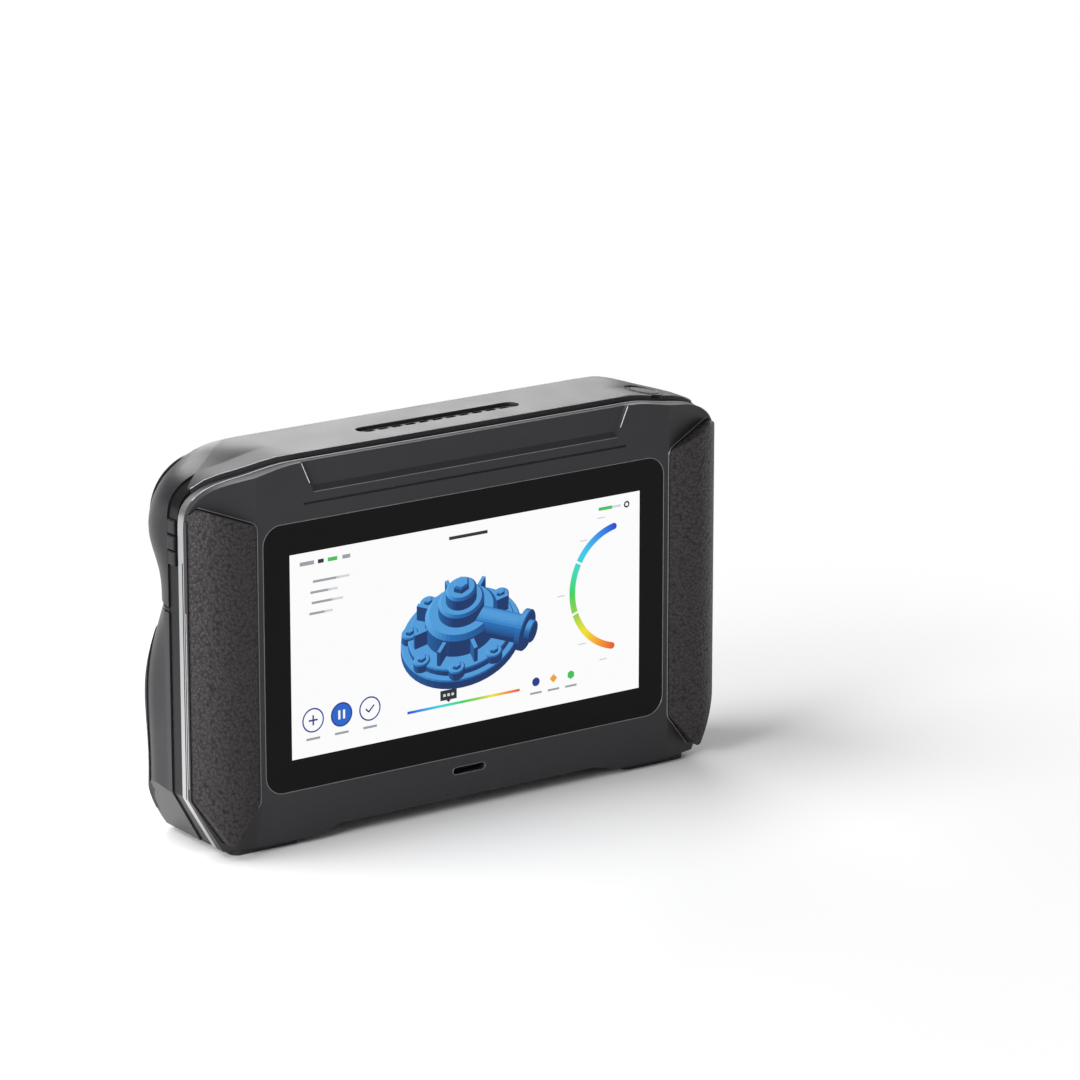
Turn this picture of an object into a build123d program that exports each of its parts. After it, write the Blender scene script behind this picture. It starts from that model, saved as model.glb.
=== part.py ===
from build123d import *
from math import cos, radians, sin
import os

# A handheld three-d scanner with a touch screen on its front and two camera pods on its back.
# Millimetres. X runs to the right as seen from the screen side, Y from the screen to the
# sensors, Z up from the foot soles. Depths are counted from the screen's glass, and the
# finished pieces are moved so that the origin is under the middle of the whole device.

# Case
case_width = 204.8
case_height = 128.5
top_flat_from_side = 38.4
front_step = 1.8
foot_height = 2.0
arch_height = 2.4
arch_from_side = 52.4
arch_ramp = 9.0
corner_cut_rise = 18.0
corner_cut_in = 10.0
cut_overrun = 1.0

# Steps of two repeated calculations
inset_steps = 8
search_steps = 40

# Depth of the layers, from the screen glass towards the sensors
facet_width = 22.4
facet_depth = 5.8
ramp_from_side = 38.4
ramp_end_from_side = 3.4
cover_depth_middle = 3.4
cover_depth_side = 7.6
trim_depth_middle = 4.9
trim_depth_side = 11.2
top_cover_front = 5.6
frame_back = 17.3
bar_depth = 37.6
wall_depth = 38.6

# Front cover and screen
glass_side_margin = 2.3
glass_height = 88.8
glass_corner = 6.5
glass_thickness = 1.1
glass_gap = 0.15
glass_ledge = 3.0
screen_drop = 65.5
panel_width = 142.0
panel_height = 75.0
panel_bond = 0.1
panel_thickness = 3.1
visor_from_side = 39.9
visor_slope = 4.5
visor_height = 10.2
visor_recess = 0.9
visor_bevel = 2.0
visor_end_bevel = 0.8
crease_below = 3.4
crease_width = 0.8
crease_depth = 0.4
slot_width = 12.6
slot_height = 2.4
slot_z = 13.5

# Trim ring and middle frame
trim_inset = 0.2
trim_band = 4.0
trim_seam = 0.5
frame_wall = 2.2
web_thickness = 2.0
band_inset = 0.5

# Front grips
grip_inner_drop = 19.5
grip_outer_drop = 12.1
grip_bottom_inner = 17.0
grip_bottom_outer = 3.4
grip_bottom_from_side = 10.8
grip_side_drop = 14.4
grip_crest_from_side = 9.9
grip_crest_proud = 1.85
grip_edge_depth = 4.9
grip_pocket = 1.0
grip_rim = 0.35
grip_corner = 2.0

# Top cover
top_skin = 2.0
top_end_from_side = 5.2
top_end_depth = 13.0
top_back_from_side = 30.4
top_back_depth = 33.2
top_slot_half = 31.2
top_slot_width = 6.4
top_slot_depth = 17.4
top_slot_drop = 0.9
top_slat_pitch = 5.2
top_slat_gap = 3.6

# Head housing that carries the sensors
head_height = 47.0
head_ledge = 1.6
head_middle_depth = 29.0
bevel_depth = 33.4
bevel_drop = 3.4
reveal_height = 1.7
reveal_inset = 1.2
reveal_strip_rise = 0.4
reveal_strip_height = 0.9
reveal_strip_inset = 0.3
sensor_drop = 25.1

# Camera pods
pod_from_side = 39.5
pod_depth_middle = 44.4
pod_toe_in = 10.0
pod_length = 55.2
pod_width = 38.0
pod_rim = 1.1
pod_edge = 0.5
pod_body = 17.0
pod_seat_gap = 0.15
pod_mouth_gap = 1.3
pod_mouth_depth = 3.2
pod_collar = 2.2
pod_collar_length = 16.0
pod_web = 1.5
pod_glass_thickness = 1.2
pod_board_thickness = 1.6
pod_wall = 1.6
lens_offset = 8.7
lens_bore = 16.4
barrel_gap = 0.15
barrel_wall = 1.3
barrel_length = 13.0
lens_radius = 5.2
lens_recess = 3.4
lens_thickness = 2.4
lens_crown_share = 0.6
lens_sag_share = 0.18
led_ring_radius = 13.1
led_size = 3.7
led_gap = 0.15
led_sink = 0.2
led_count = 6
colour_camera_x = 17.6
colour_camera_bore = 9.4
colour_camera_length = 8.0
colour_rim = 1.0
colour_sink = 1.4
colour_lens_radius = 1.9
emitter_x = 15.1
emitter_z = 10.0
emitter_bore = 4.6
module_size = 20.0
module_depth = 5.0

# Centre window of the bar
window_length = 71.0
window_width = 32.6
window_thickness = 1.4
window_gap = 0.12
window_rim = 0.5
sensor_x = 29.6
sensor_bore = 7.8
flash_width = 8.0
flash_height = 8.4
flash_corner = 1.6
flash_left_x = 12.4
flash_right_x = -25.8
laser_width = 6.8
laser_height = 9.0
laser_corner = 1.2
laser_rise = 5.75
laser_straight_x = 0.3
laser_tilted_x = -11.7
laser_tilt = 28.0
module_gap = 0.1
module_sink = 0.5
module_length = 7.0

# Optical frame inside the head
optic_bar_from_side = 16.4
optic_bar_height = 24.0
optic_bar_front = 19.0
optic_bar_back = 22.0
optic_post_from_side = 26.4
optic_post_rise = 8.0
optic_post_radius = 3.0
optic_pad_length = 14.0
sensor_board_width = 68.0
sensor_board_height = 28.0
sensor_board_thickness = 1.6
sensor_post_x = 31.0
sensor_post_rise = 11.0
sensor_post_radius = 2.4

# Back cover and rear pads
back_wall = 3.0
corner_wall = 4.0
back_flat_from_side = 46.4
grip_low_height = 14.0
grip_middle_height = 36.0
grip_high_drop = 23.8
waist_drop = 9.8
pad_sink = 1.6
pad_proud = 0.4
pad_inner_from_side = 41.2
pad_start_depth = 31.0
pad_inner_drop = 21.4
pad_outer_drop = 8.6
pad_shoulder_from_side = 29.4
pad_bottom = 7.5
pad_corner = 7.0

# Vent grille
vent_z = 39.2
vent_plate_width = 70.0
vent_plate_height = 36.0
vent_plate_thickness = 1.6
vent_plate_corner = 3.0
vent_ledge = 1.6
vent_pitch = 3.5
vent_hole = 2.5
vent_hole_second = 1.8
vent_hole_edge = 1.2
vent_rows = 11
vent_columns = 19

# Feet
foot_inner_from_side = 38.4
foot_outer_from_side = 13.4
foot_front = 2.2
foot_back = 38.0
foot_corner = 3.0

# Power button
power_from_side = 22.4
power_depth = 14.5
power_radius = 4.8
power_collar = 1.7
power_flange = 0.6
power_gap = 0.15
power_flange_thickness = 1.0
power_travel = 0.8
power_proud = 0.3
power_seat_gap = 0.2
switch_size = 5.0
switch_height = 1.7
switch_gap = 0.1

# Side keys on the left, trigger button on the right
key_depth = 14.5
key_drop = 24.9
key_pitch = 5.1
key_width = 4.2
key_height = 4.6
key_gap = 0.2
key_proud = 1.0
key_middle_proud = 1.2
key_wall = 2.4
key_flange = 0.5
key_flange_thickness = 1.0
key_travel = 0.8
key_seat_gap = 0.2
key_board_gap = 0.1
key_pocket_half = 10.0
side_board_thickness = 1.6
side_board_front = 8.5
side_board_half = 10.8
trigger_radius = 7.1
trigger_gap = 0.2
trigger_sink = 0.4
trigger_flange = 0.9
trigger_flange_thickness = 1.0
trigger_board_back = 24.0
trigger_board_half = 10.0
trigger_depth = 18.6
trigger_drop = 24.3
trigger_travel = 0.6
trigger_wall = 3.8

# Cooling fan behind the vent
fan_size = 40.0
fan_thickness = 10.0
fan_bore_radius = 18.8
fan_tip_gap = 0.6
fan_hub_radius = 8.0
fan_pin_radius = 1.2
fan_running_gap = 0.05
fan_spokes = 3
fan_spoke_width = 2.4
fan_spoke_thickness = 1.6
fan_blades = 7
fan_blade_thickness = 1.0
fan_blade_pitch = 38.0
fan_blade_gap = 0.6

# Electronics
board_width = 130.0
board_top = 70.0
board_bottom = 11.0
board_thickness = 1.6
board_standoff = 4.0
board_boss_radius = 3.0
board_boss_margin = 6.0
screw_radius = 1.0
screw_head_radius = 1.9
screw_head_height = 1.2
screw_length = 4.5
screw_gap = 0.05
sink_width = 38.0
sink_base = 1.8
sink_fin_pitch = 3.8
sink_fin_thickness = 1.0
sink_fan_gap = 0.3
battery_width = 132.0
battery_top_drop = 10.5
battery_height = 42.0
battery_thickness = 7.5
battery_corner = 2.0
speaker_width = 18.0
speaker_height = 7.0
speaker_thickness = 4.0
port_width = 9.0
port_thickness = 3.2
port_length = 9.0
port_wall = 0.4
port_gap = 0.15

left = -1
right = 1
sides = ((left, "left"), (right, "right"))

# Places across the case, measured from its side
half_width = case_width / 2
top_flat_half = half_width - top_flat_from_side
arch_half = half_width - arch_from_side
facet_start = half_width - facet_width
ramp_start = half_width - ramp_from_side
ramp_end = half_width - ramp_end_from_side
glass_width = 2 * (facet_start - glass_side_margin)
visor_half = half_width - visor_from_side
grip_bottom_x = half_width - grip_bottom_from_side
grip_crest_x = half_width - grip_crest_from_side
top_end_x = half_width - top_end_from_side
top_back_x = half_width - top_back_from_side
pod_x = half_width - pod_from_side
optic_bar_half = half_width - optic_bar_from_side
optic_post_x = half_width - optic_post_from_side
back_flat_half = half_width - back_flat_from_side
pad_inner_x = half_width - pad_inner_from_side
pad_shoulder_x = half_width - pad_shoulder_from_side
foot_inner = half_width - foot_inner_from_side
foot_outer = half_width - foot_outer_from_side
power_x = half_width - power_from_side
trigger_face = half_width - trigger_sink

# Heights, measured from the roof or from the underside of the head
screen_z = case_height - screen_drop
grip_top_inner = case_height - grip_inner_drop
grip_top_outer = case_height - grip_outer_drop
grip_side_top = case_height - grip_side_drop
head_bottom = case_height - head_height
neck_height = head_bottom - reveal_height
sensor_z = case_height - sensor_drop
key_z = case_height - key_drop
trigger_z = case_height - trigger_drop
grip_high_height = neck_height - grip_high_drop
waist_height = neck_height - waist_drop
pad_top_inner = neck_height - pad_inner_drop
pad_top_outer = neck_height - pad_outer_drop
battery_top = case_height - battery_top_drop
battery_bottom = battery_top - battery_height

# Side curves of the head from its underside to its roof, each point as
# (share of the half width, share of the head's height)
front_shares = ((1.0, 0.0), (1.0, 0.28), (1.0, 0.56), (0.988, 0.75), (0.93, 0.868), (0.80, 0.94))
middle_shares = ((0.955, 0.0), (0.963, 0.18), (0.99, 0.42), (0.984, 0.62), (0.935, 0.80), (0.81, 0.945))
bar_shares = ((0.87, 0.0), (0.90, 0.18), (0.945, 0.42), (0.94, 0.60), (0.885, 0.79), (0.77, 0.94))

# Back curves of the back cover from its side to its flat middle, each point as
# (share of the half width, share of the wall's depth behind the frame)
foot_back_shares = ((1.0, 0.10), (1.003, 0.40), (0.962, 0.80), (0.84, 1.07), (0.68, 1.08))
grip_back_shares = ((1.0, 0.10), (1.007, 0.45), (0.972, 0.88), (0.86, 1.15), (0.68, 1.17))
waist_back_shares = ((1.0, 0.10), (0.998, 0.34), (0.955, 0.71), (0.84, 0.94), (0.68, 1.00))
neck_back_shares = ((1.0, 0.10), (0.988, 0.27), (0.945, 0.56), (0.84, 0.82), (0.68, 0.955))
# Which way each of those points moves when the surface moves inwards, across and in depth
inward_shares = ((1.0, 0.0), (1.0, 0.1), (0.75, 0.66), (0.2, 0.98), (0.0, 1.0))
# How strongly a back curve holds its end directions
end_pull_shares = (1.0, 1.0)


def front_plane(depth):
    """Plane facing the user at the given depth, with its own x and y along world X and Z."""
    return Plane(origin=(0, depth, 0), x_dir=(1, 0, 0), z_dir=(0, -1, 0))


def through(sketch, near, far):
    """Extrude a front-view sketch from one depth to another."""
    return extrude(front_plane(near) * sketch, amount=far - near, dir=(0, 1, 0))


def upright(sketch, low, high):
    """Extrude a plan-view sketch from one height to another."""
    return extrude(Pos(0, 0, low) * sketch, amount=high - low, dir=(0, 0, 1))


def block(x_low, x_high, near, far, low, high):
    """Box given by its corners."""
    middle = Pos((x_low + x_high) / 2, (near + far) / 2, (low + high) / 2)
    return middle * Box(x_high - x_low, far - near, high - low)


def mirrored(points):
    """Half outline followed by its mirror image, as one closed list."""
    return list(points) + [(-x, y) for x, y in reversed(points)]


def side_curve(shares, roof, inwards):
    """Right side of the head in front view, from its underside to its flat roof."""
    high = roof - head_bottom - inwards
    low = head_bottom + inwards
    points = [(half_width * across - inwards, low + (high - inwards) * up) for across, up in shares]
    return Spline(*points, (top_flat_half - inwards, roof - inwards), tangents=[(0, 1), (-1, 0)])


def closed_outline(side, lower):
    """Close a side curve with its mirror image, a roof line and a lower run of points."""
    end = side @ 1
    roof_line = Line((end.X, end.Y), (-end.X, end.Y))
    return make_face([side, roof_line, mirror(side, Plane.YZ), Polyline(*lower)])


def head_outline(shares, roof, inwards):
    """Front-view outline of the head with a flat roof, or a copy moved inwards."""
    side = side_curve(shares, roof, inwards)
    foot = side @ 0
    return closed_outline(side, [(-foot.X, foot.Y), (foot.X, foot.Y)])


def case_outline(roof):
    """Front-view outline of the case: the head's shoulders, cut lower corners, an arched foot line."""
    half = [
        (half_width, head_bottom),
        (half_width, foot_height + corner_cut_rise),
        (half_width - corner_cut_in, foot_height),
        (arch_half + arch_ramp, foot_height),
        (arch_half, foot_height + arch_height),
    ]
    return closed_outline(side_curve(front_shares, roof, 0), mirrored(half))


def plain_edge(edge):
    """The same edge as a straight line, or as a spline through points along it."""
    if edge.geom_type == GeomType.LINE:
        return Line(edge @ 0, edge @ 1)
    points = [edge @ (index / inset_steps) for index in range(inset_steps + 1)]
    return Spline(*points, tangents=[edge % 0, edge % 1])


def inset(sketch, amount):
    """The same outline moved inwards."""
    moved = offset(sketch, amount=-amount, kind=Kind.INTERSECTION)
    return make_face([plain_edge(edge) for edge in moved.edges()])


def behind(middle, side, start, end):
    """Everything deeper than a layer that runs back towards both sides of the case."""
    half = [(start, middle), (end, side), (case_width, side), (case_width, case_width)]
    return upright(Polygon(*mirrored(half), align=None), -cut_overrun, case_height + cut_overrun)


cover_face = behind(0, facet_depth, facet_start, half_width)
cover_back = behind(cover_depth_middle, cover_depth_side, ramp_start, ramp_end)
trim_back = behind(trim_depth_middle, trim_depth_side, ramp_start, ramp_end)
cover_outline = case_outline(case_height - front_step)
frame_outline = case_outline(case_height)


def head_body(inwards):
    """The head from the frame's back to the bar's face, or a smaller copy of it."""
    sections = (
        (frame_back, front_shares),
        (head_middle_depth, middle_shares),
        (bar_depth - inwards, bar_shares),
    )
    return loft([front_plane(depth) * head_outline(shares, case_height, inwards) for depth, shares in sections])


def back_section(height, shares, inwards):
    """Plan-view section of the back cover at one height."""
    deep = wall_depth - frame_back
    points = [
        (half_width * across - inwards * aside, frame_back + deep * back - inwards * forward)
        for (across, back), (aside, forward) in zip(shares, inward_shares)
    ]
    end = (back_flat_half, wall_depth - inwards)
    start = (points[0][0], frame_back)
    curve = Spline(*points, end, tangents=[(0, 1), (-1, 0)], tangent_scalars=end_pull_shares)
    side = Line(start, points[0])
    wall = Line(end, (-end[0], end[1]))
    front = Line((-start[0], frame_back), start)
    return Pos(0, 0, height) * make_face(
        [side, curve, wall, mirror(curve, Plane.YZ), mirror(side, Plane.YZ), front]
    )


def back_body(inwards):
    """Lower back of the case with its two grips, or a copy with its surface moved inwards."""
    sections = (
        (foot_height, foot_back_shares),
        (grip_low_height, grip_back_shares),
        (grip_middle_height, grip_back_shares),
        (grip_high_height, grip_back_shares),
        (waist_height, waist_back_shares),
        (neck_height, neck_back_shares),
    )
    return loft([back_section(height, shares, inwards) for height, shares in sections])


def layer(outline, near, far, front, back):
    """A slice of an outline between two surfaces that follow the layers of the case."""
    piece = through(outline, near, far) & front
    return piece - back


def visor_outline(widen, lower):
    """Front-view outline of the recess along the top border, open at the roof."""
    top = case_height - front_step
    low = top - visor_height + visor_bevel - lower
    foot = visor_half - visor_slope + widen
    half = [
        (foot, low),
        (visor_half + widen, top),
        (visor_half + widen, top + cut_overrun),
    ]
    return Polygon(*mirrored(half), align=None)


def visor_cut():
    """Shallow recess along the top border, with sloped ends and a soft lower edge."""
    floor = front_plane(visor_recess) * visor_outline(0, 0)
    mouth = front_plane(0) * visor_outline(visor_end_bevel, visor_bevel)
    outside = through(visor_outline(visor_end_bevel, visor_bevel), -cut_overrun, 0)
    return loft([mouth, floor], ruled=True) + outside


def crease_cut():
    """Fine line under the visor recess."""
    z = case_height - front_step - visor_height - crease_below
    groove = Plane.YZ * Polygon(
        (0, z + crease_width / 2),
        (crease_depth, z),
        (0, z - crease_width / 2),
        align=None,
    )
    return extrude(groove, amount=visor_half, both=True)


def glass_outline(gap):
    """Rounded outline of the cover glass with a gap around it."""
    return Pos(0, screen_z) * RectangleRounded(
        glass_width + 2 * gap, glass_height + 2 * gap, glass_corner + gap
    )


def front_grip_outline(side, gap):
    """Front-view outline of a front grip: straight towards the screen, pointed above and below."""
    half = [
        (facet_start, grip_bottom_inner),
        (facet_start, grip_top_inner),
        (ramp_end, grip_top_outer),
        (half_width - trim_inset, grip_side_top),
        (half_width - trim_inset, foot_height + corner_cut_rise),
        (grip_bottom_x, grip_bottom_outer),
    ]
    shape = Polygon(*half, align=None)
    shape = fillet(shape.vertices(), grip_corner)
    shape = offset(shape, amount=gap, kind=Kind.INTERSECTION) if gap else shape
    return shape if side == right else mirror(shape, Plane.YZ)


def facet_space(sink):
    """Space in front of the cover's face, down to a depth under its sloped sides."""
    half = [
        (facet_start, sink),
        (half_width, facet_depth + sink),
        (case_width, facet_depth + sink),
        (case_width, -case_width),
    ]
    return upright(Polygon(*mirrored(half), align=None), -cut_overrun, case_height + cut_overrun)


def make_front_cover():
    """Bezel around the screen, with sloped side facets that carry the grips."""
    cover = layer(cover_outline, -cut_overrun, cover_depth_side, cover_face, cover_back)
    cover -= through(glass_outline(glass_gap), -cut_overrun, glass_thickness)
    cover -= through(glass_outline(-glass_ledge), 0, cover_depth_side)
    cover -= visor_cut()
    cover -= crease_cut()
    slot = Pos(0, slot_z) * SlotOverall(slot_width, slot_height)
    cover -= through(slot, -cut_overrun, cover_depth_side)
    for side in (left, right):
        cover -= through(front_grip_outline(side, 0), -cut_overrun, case_width) & facet_space(grip_pocket)
    return cover


def make_front_grip(side):
    """Rubber grip that wraps from the screen's border to the trim, crowned along a soft crest."""
    rim = half_width - trim_inset
    crown = Spline((facet_start, 0), (grip_crest_x, -grip_crest_proud), (rim, grip_edge_depth))
    seat = [
        (rim, grip_edge_depth),
        (rim, facet_depth + grip_pocket),
        (half_width, facet_depth + grip_pocket),
        (facet_start, grip_pocket),
        (facet_start, 0),
    ]
    profile = make_face([crown, Polyline(*seat)])
    profile = profile if side == right else mirror(profile, Plane.YZ)
    grip = upright(profile, 0, case_height)
    return grip & through(front_grip_outline(side, -grip_rim), -case_width, case_width)


def make_display_glass():
    """Cover glass over the whole screen opening."""
    return through(glass_outline(0), 0, glass_thickness)


panel_front = glass_thickness + panel_bond
web_front = panel_front + panel_thickness
web_back = web_front + web_thickness


def make_display_panel():
    """Display module bonded behind the glass."""
    sheet = Pos(0, screen_z) * Rectangle(panel_width, panel_height)
    return through(sheet, panel_front, web_front)


def make_trim_ring():
    """Bright ring between the front cover and the middle frame, wide at the sides, thin on top."""
    ring = inset(cover_outline, trim_inset) - inset(cover_outline, trim_band)
    return layer(ring, 0, trim_depth_side, cover_back, trim_back)


def roof_zone():
    """Plan region that the top cover takes up: as wide as the case in front, narrower behind."""
    half = [
        (top_back_x, top_back_depth),
        (top_end_x, top_end_depth),
        (top_end_x, top_cover_front),
    ]
    return upright(Polygon(*mirrored(half), align=None), sensor_z, case_height + cut_overrun)


def upper_body(inwards):
    """Upper case from the front cover to the bar's face, or a copy moved inwards."""
    front = through(head_outline(front_shares, case_height, inwards), 0, frame_back)
    return front + head_body(inwards)


def bevel_cut():
    """Wedge that bevels the roof down to the bar's face."""
    wedge = [
        (bevel_depth, case_height),
        (bar_depth, case_height - bevel_drop),
        (case_width, case_height - bevel_drop),
        (case_width, case_width),
        (bevel_depth, case_width),
    ]
    return extrude(Plane.YZ * Polygon(*wedge, align=None), amount=case_width, both=True)


def slot_outline(gap):
    """Plan outline of the long slot in the roof."""
    slot = SlotOverall(2 * (top_slot_half + gap), top_slot_width + 2 * gap)
    return Pos(0, top_slot_depth) * slot


def roof_place(across):
    """Point of the roof's front curve at a distance from the middle, and its outward direction."""
    curve = side_curve(front_shares, case_height, 0)
    low, high = 0.0, 1.0
    for _ in range(search_steps):
        middle = (low + high) / 2
        if (curve @ middle).X > across:
            low = middle
        else:
            high = middle
    place = curve @ low
    along = curve % low
    return place, (along.Y, -along.X)


def power_plane():
    """Plane on the roof's shoulder under the power button, facing outwards."""
    place, outward = roof_place(power_x)
    return Plane(
        origin=(place.X, power_depth, place.Y),
        x_dir=(0, 1, 0),
        z_dir=(outward[0], 0, outward[1]),
    )


def on_plane(plane, sketch, low, high):
    """Extrude a sketch along a plane's normal, between two distances from it."""
    return extrude(plane * Pos(0, 0, low) * sketch, amount=high - low, dir=plane.z_dir)


power_bore = power_radius + power_gap
power_pocket = power_radius + power_flange + power_gap
power_flange_top = -top_skin - power_seat_gap
power_flange_low = power_flange_top - power_flange_thickness
switch_top = power_flange_low - power_travel - switch_gap
switch_floor = switch_top - switch_height


def make_top_cover():
    """Roof of the case, with the long vent slot and the hole for the power button."""
    cover = (upper_body(0) & roof_zone() & outer_band()) - upper_body(top_skin)
    cover -= bevel_cut()
    cover -= upright(slot_outline(0), sensor_z, case_width)
    seat = Circle(power_bore + power_collar)
    cover -= on_plane(power_plane(), seat, -top_skin / 2, top_skin)
    cover -= on_plane(power_plane(), Circle(power_bore), -2 * top_skin, top_skin)
    return cover.solids().sort_by(SortBy.VOLUME)[-1]


def make_top_vent():
    """Slatted insert at the bottom of the roof's slot."""
    top = case_height - top_slot_drop
    low = case_height - top_skin
    insert = upright(slot_outline(-window_gap), low, top)
    count = int(2 * (top_slot_half - top_slat_pitch) / top_slat_pitch)
    for index in range(count + 1):
        x = (index - count / 2) * top_slat_pitch
        gap = Pos(x, top_slot_depth) * Rectangle(top_slat_gap, top_slot_width - 2 * visor_bevel)
        insert -= upright(gap, low, case_height)
    return insert


def make_power_collar():
    """Thin ring set around the power button."""
    ring = Circle(power_bore + power_collar) - Circle(power_bore)
    return on_plane(power_plane(), ring, -top_skin / 2, power_proud / 2)


def make_power_button():
    """Round button with a flange that keeps it under the roof."""
    button = on_plane(power_plane(), Circle(power_radius), power_flange_low, power_proud)
    flange = Circle(power_radius + power_flange)
    return button + on_plane(power_plane(), flange, power_flange_low, power_flange_top)


def make_power_switch():
    """Tact switch under the power button."""
    body = Rectangle(switch_size, switch_size)
    return on_plane(power_plane(), body, switch_floor, switch_top)


def power_pocket_cut():
    """Hollow for the power button's flange and its switch, under the roof's skin."""
    return on_plane(power_plane(), Circle(power_pocket), switch_floor, top_skin)


def outer_band():
    """Everything behind the seam line that follows the trim ring's back edge."""
    return behind(top_cover_front, trim_depth_side + trim_seam, ramp_start, ramp_end)


def make_middle_frame():
    """Frame behind the front cover: an outer band, an inner wall and the web behind the display."""
    hollow = inset(cover_outline, trim_band + frame_wall)
    around = Rectangle(4 * case_width, 4 * case_width) - inset(cover_outline, trim_band)
    frame = through(inset(frame_outline, band_inset), 0, frame_back) & cover_back
    frame -= through(around, -cut_overrun, frame_back) - outer_band()
    frame -= through(hollow, 0, web_front)
    frame -= through(hollow, web_back, frame_back + cut_overrun)
    frame -= roof_zone() - upper_body(top_skin)
    frame -= power_pocket_cut()
    speaker = Pos(0, slot_z) * Rectangle(speaker_width + 2 * port_gap, speaker_height + 2 * port_gap)
    frame -= through(speaker, 0, cover_depth_middle + speaker_thickness + port_gap)
    frame -= port_cut()
    frame -= key_cut()
    frame -= trigger_cut()
    for x, z in board_bosses():
        boss = Pos(x, z) * (Circle(board_boss_radius) - Circle(screw_radius + screw_gap))
        frame += through(boss, web_back, web_back + board_standoff)
    for side in (left, right):
        for up in (left, right):
            post = Pos(side * optic_post_x, sensor_z + up * optic_post_rise) * Circle(optic_post_radius)
            frame += through(post, web_back, optic_bar_front)
    return frame


key_surface = half_width - band_inset
key_flange_out = key_surface - key_wall - key_seat_gap
key_flange_in = key_flange_out - key_flange_thickness
key_board_x = key_flange_in - key_travel - key_board_gap


def side_board_space(board_x, back, half, z):
    """Seat of a small upright board against the frame's side wall, on the right side."""
    return block(board_x - side_board_thickness, board_x, side_board_front, back, z - half, z + half)


def key_cut():
    """Three key holes, the pocket of their flanges and the seat of their board, on the left side."""
    cut = block(
        key_board_x - cut_overrun,
        key_surface - key_wall,
        key_depth - key_width / 2 - key_flange - key_gap,
        frame_back + cut_overrun,
        key_z - key_pocket_half,
        key_z + key_pocket_half,
    )
    for index in (-1, 0, 1):
        hole = Pos(0, key_depth, key_z + index * key_pitch) * Box(
            2 * case_width, key_width + 2 * key_gap, key_height + 2 * key_gap
        )
        cut += hole & block(key_board_x, case_width, 0, case_width, 0, case_width)
    cut += side_board_space(key_board_x, frame_back + cut_overrun, side_board_half, key_z)
    return mirror(cut, Plane.YZ)


def make_side_key(index, proud):
    """One rocker of the key row, with a flange that keeps it behind the frame's wall."""
    z = key_z + index * key_pitch
    half = key_height / 2
    wide = key_width / 2
    key = block(
        key_flange_in, key_surface + proud, key_depth - wide, key_depth + wide, z - half, z + half
    )
    outer_edges = key.faces().sort_by(Axis.X)[-1].edges()
    key = fillet(outer_edges, key_flange)
    key += block(
        key_flange_in,
        key_flange_out,
        key_depth - wide - key_flange,
        key_depth + wide + key_flange,
        z - half,
        z + half,
    )
    return mirror(key, Plane.YZ)


def make_key_board():
    """Small board with the switches behind the three keys."""
    return mirror(side_board_space(key_board_x, frame_back, side_board_half, key_z), Plane.YZ)


trigger_flange_out = trigger_face - trigger_wall - key_seat_gap
trigger_flange_in = trigger_flange_out - trigger_flange_thickness
trigger_board_x = trigger_flange_in - trigger_travel - key_board_gap


def across(radius, low, high):
    """Round bar along X through the trigger button's place."""
    place = Plane(origin=(low, trigger_depth, trigger_z), x_dir=(0, 1, 0), z_dir=(1, 0, 0))
    return extrude(place * Circle(radius), amount=high - low)


def trigger_cut():
    """Hole of the round button, the pocket of its flange and the seat of its board."""
    cut = across(trigger_radius + trigger_gap, trigger_board_x, case_width)
    cut += across(
        trigger_radius + trigger_flange + trigger_gap, trigger_board_x - cut_overrun, trigger_face - trigger_wall
    )
    return cut + side_board_space(trigger_board_x, frame_back + cut_overrun, trigger_board_half, trigger_z)


def make_trigger_button():
    """Round button on the right side, almost flush with the case."""
    button = across(trigger_radius, trigger_flange_in, trigger_face)
    button = fillet(button.faces().sort_by(Axis.X)[-1].edges(), key_flange)
    return button + across(trigger_radius + trigger_flange, trigger_flange_in, trigger_flange_out)


def make_trigger_board():
    """Small board with the switch behind the round button."""
    return side_board_space(trigger_board_x, trigger_board_back, trigger_board_half, trigger_z)


def port_cut():
    """Opening in the frame's lower wall for the charging port."""
    near = board_back - port_gap
    far = board_back + port_thickness + port_gap
    half = port_width / 2 + port_gap
    return block(-half, half, near, far, 0, port_mouth + port_length + port_gap)


board_front = web_back + board_standoff
board_back = board_front + board_thickness
port_mouth = foot_height + arch_height + trim_inset


def board_bosses():
    """Places of the main board's four screws, in front view."""
    x = board_width / 2 - board_boss_margin
    return [
        (side * x, z)
        for side in (left, right)
        for z in (board_bottom + board_boss_margin, board_top - board_boss_margin)
    ]


def make_main_board():
    """Circuit board on four bosses of the frame's web."""
    board = block(-board_width / 2, board_width / 2, board_front, board_back, board_bottom, board_top)
    for x, z in board_bosses():
        board -= through(Pos(x, z) * Circle(screw_radius + screw_gap), board_front, board_back)
    return board


def make_board_screws():
    """Four small screws that hold the main board on its bosses."""
    screws = []
    for x, z in board_bosses():
        shank = through(Pos(x, z) * Circle(screw_radius), board_back - screw_length, board_back)
        head = through(Pos(x, z) * Circle(screw_head_radius), board_back, board_back + screw_head_height)
        screws.append(shank + head)
    return screws


def make_charging_port():
    """Metal shell of the charging port on the board's lower edge, open downwards."""
    half = port_width / 2
    far = board_back + port_thickness
    shell = block(-half, half, board_back, far, port_mouth, port_mouth + port_length)
    inner = block(
        -half + port_wall,
        half - port_wall,
        board_back + port_wall,
        far - port_wall,
        port_mouth - cut_overrun,
        port_mouth + port_length - port_wall,
    )
    return shell - inner


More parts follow.
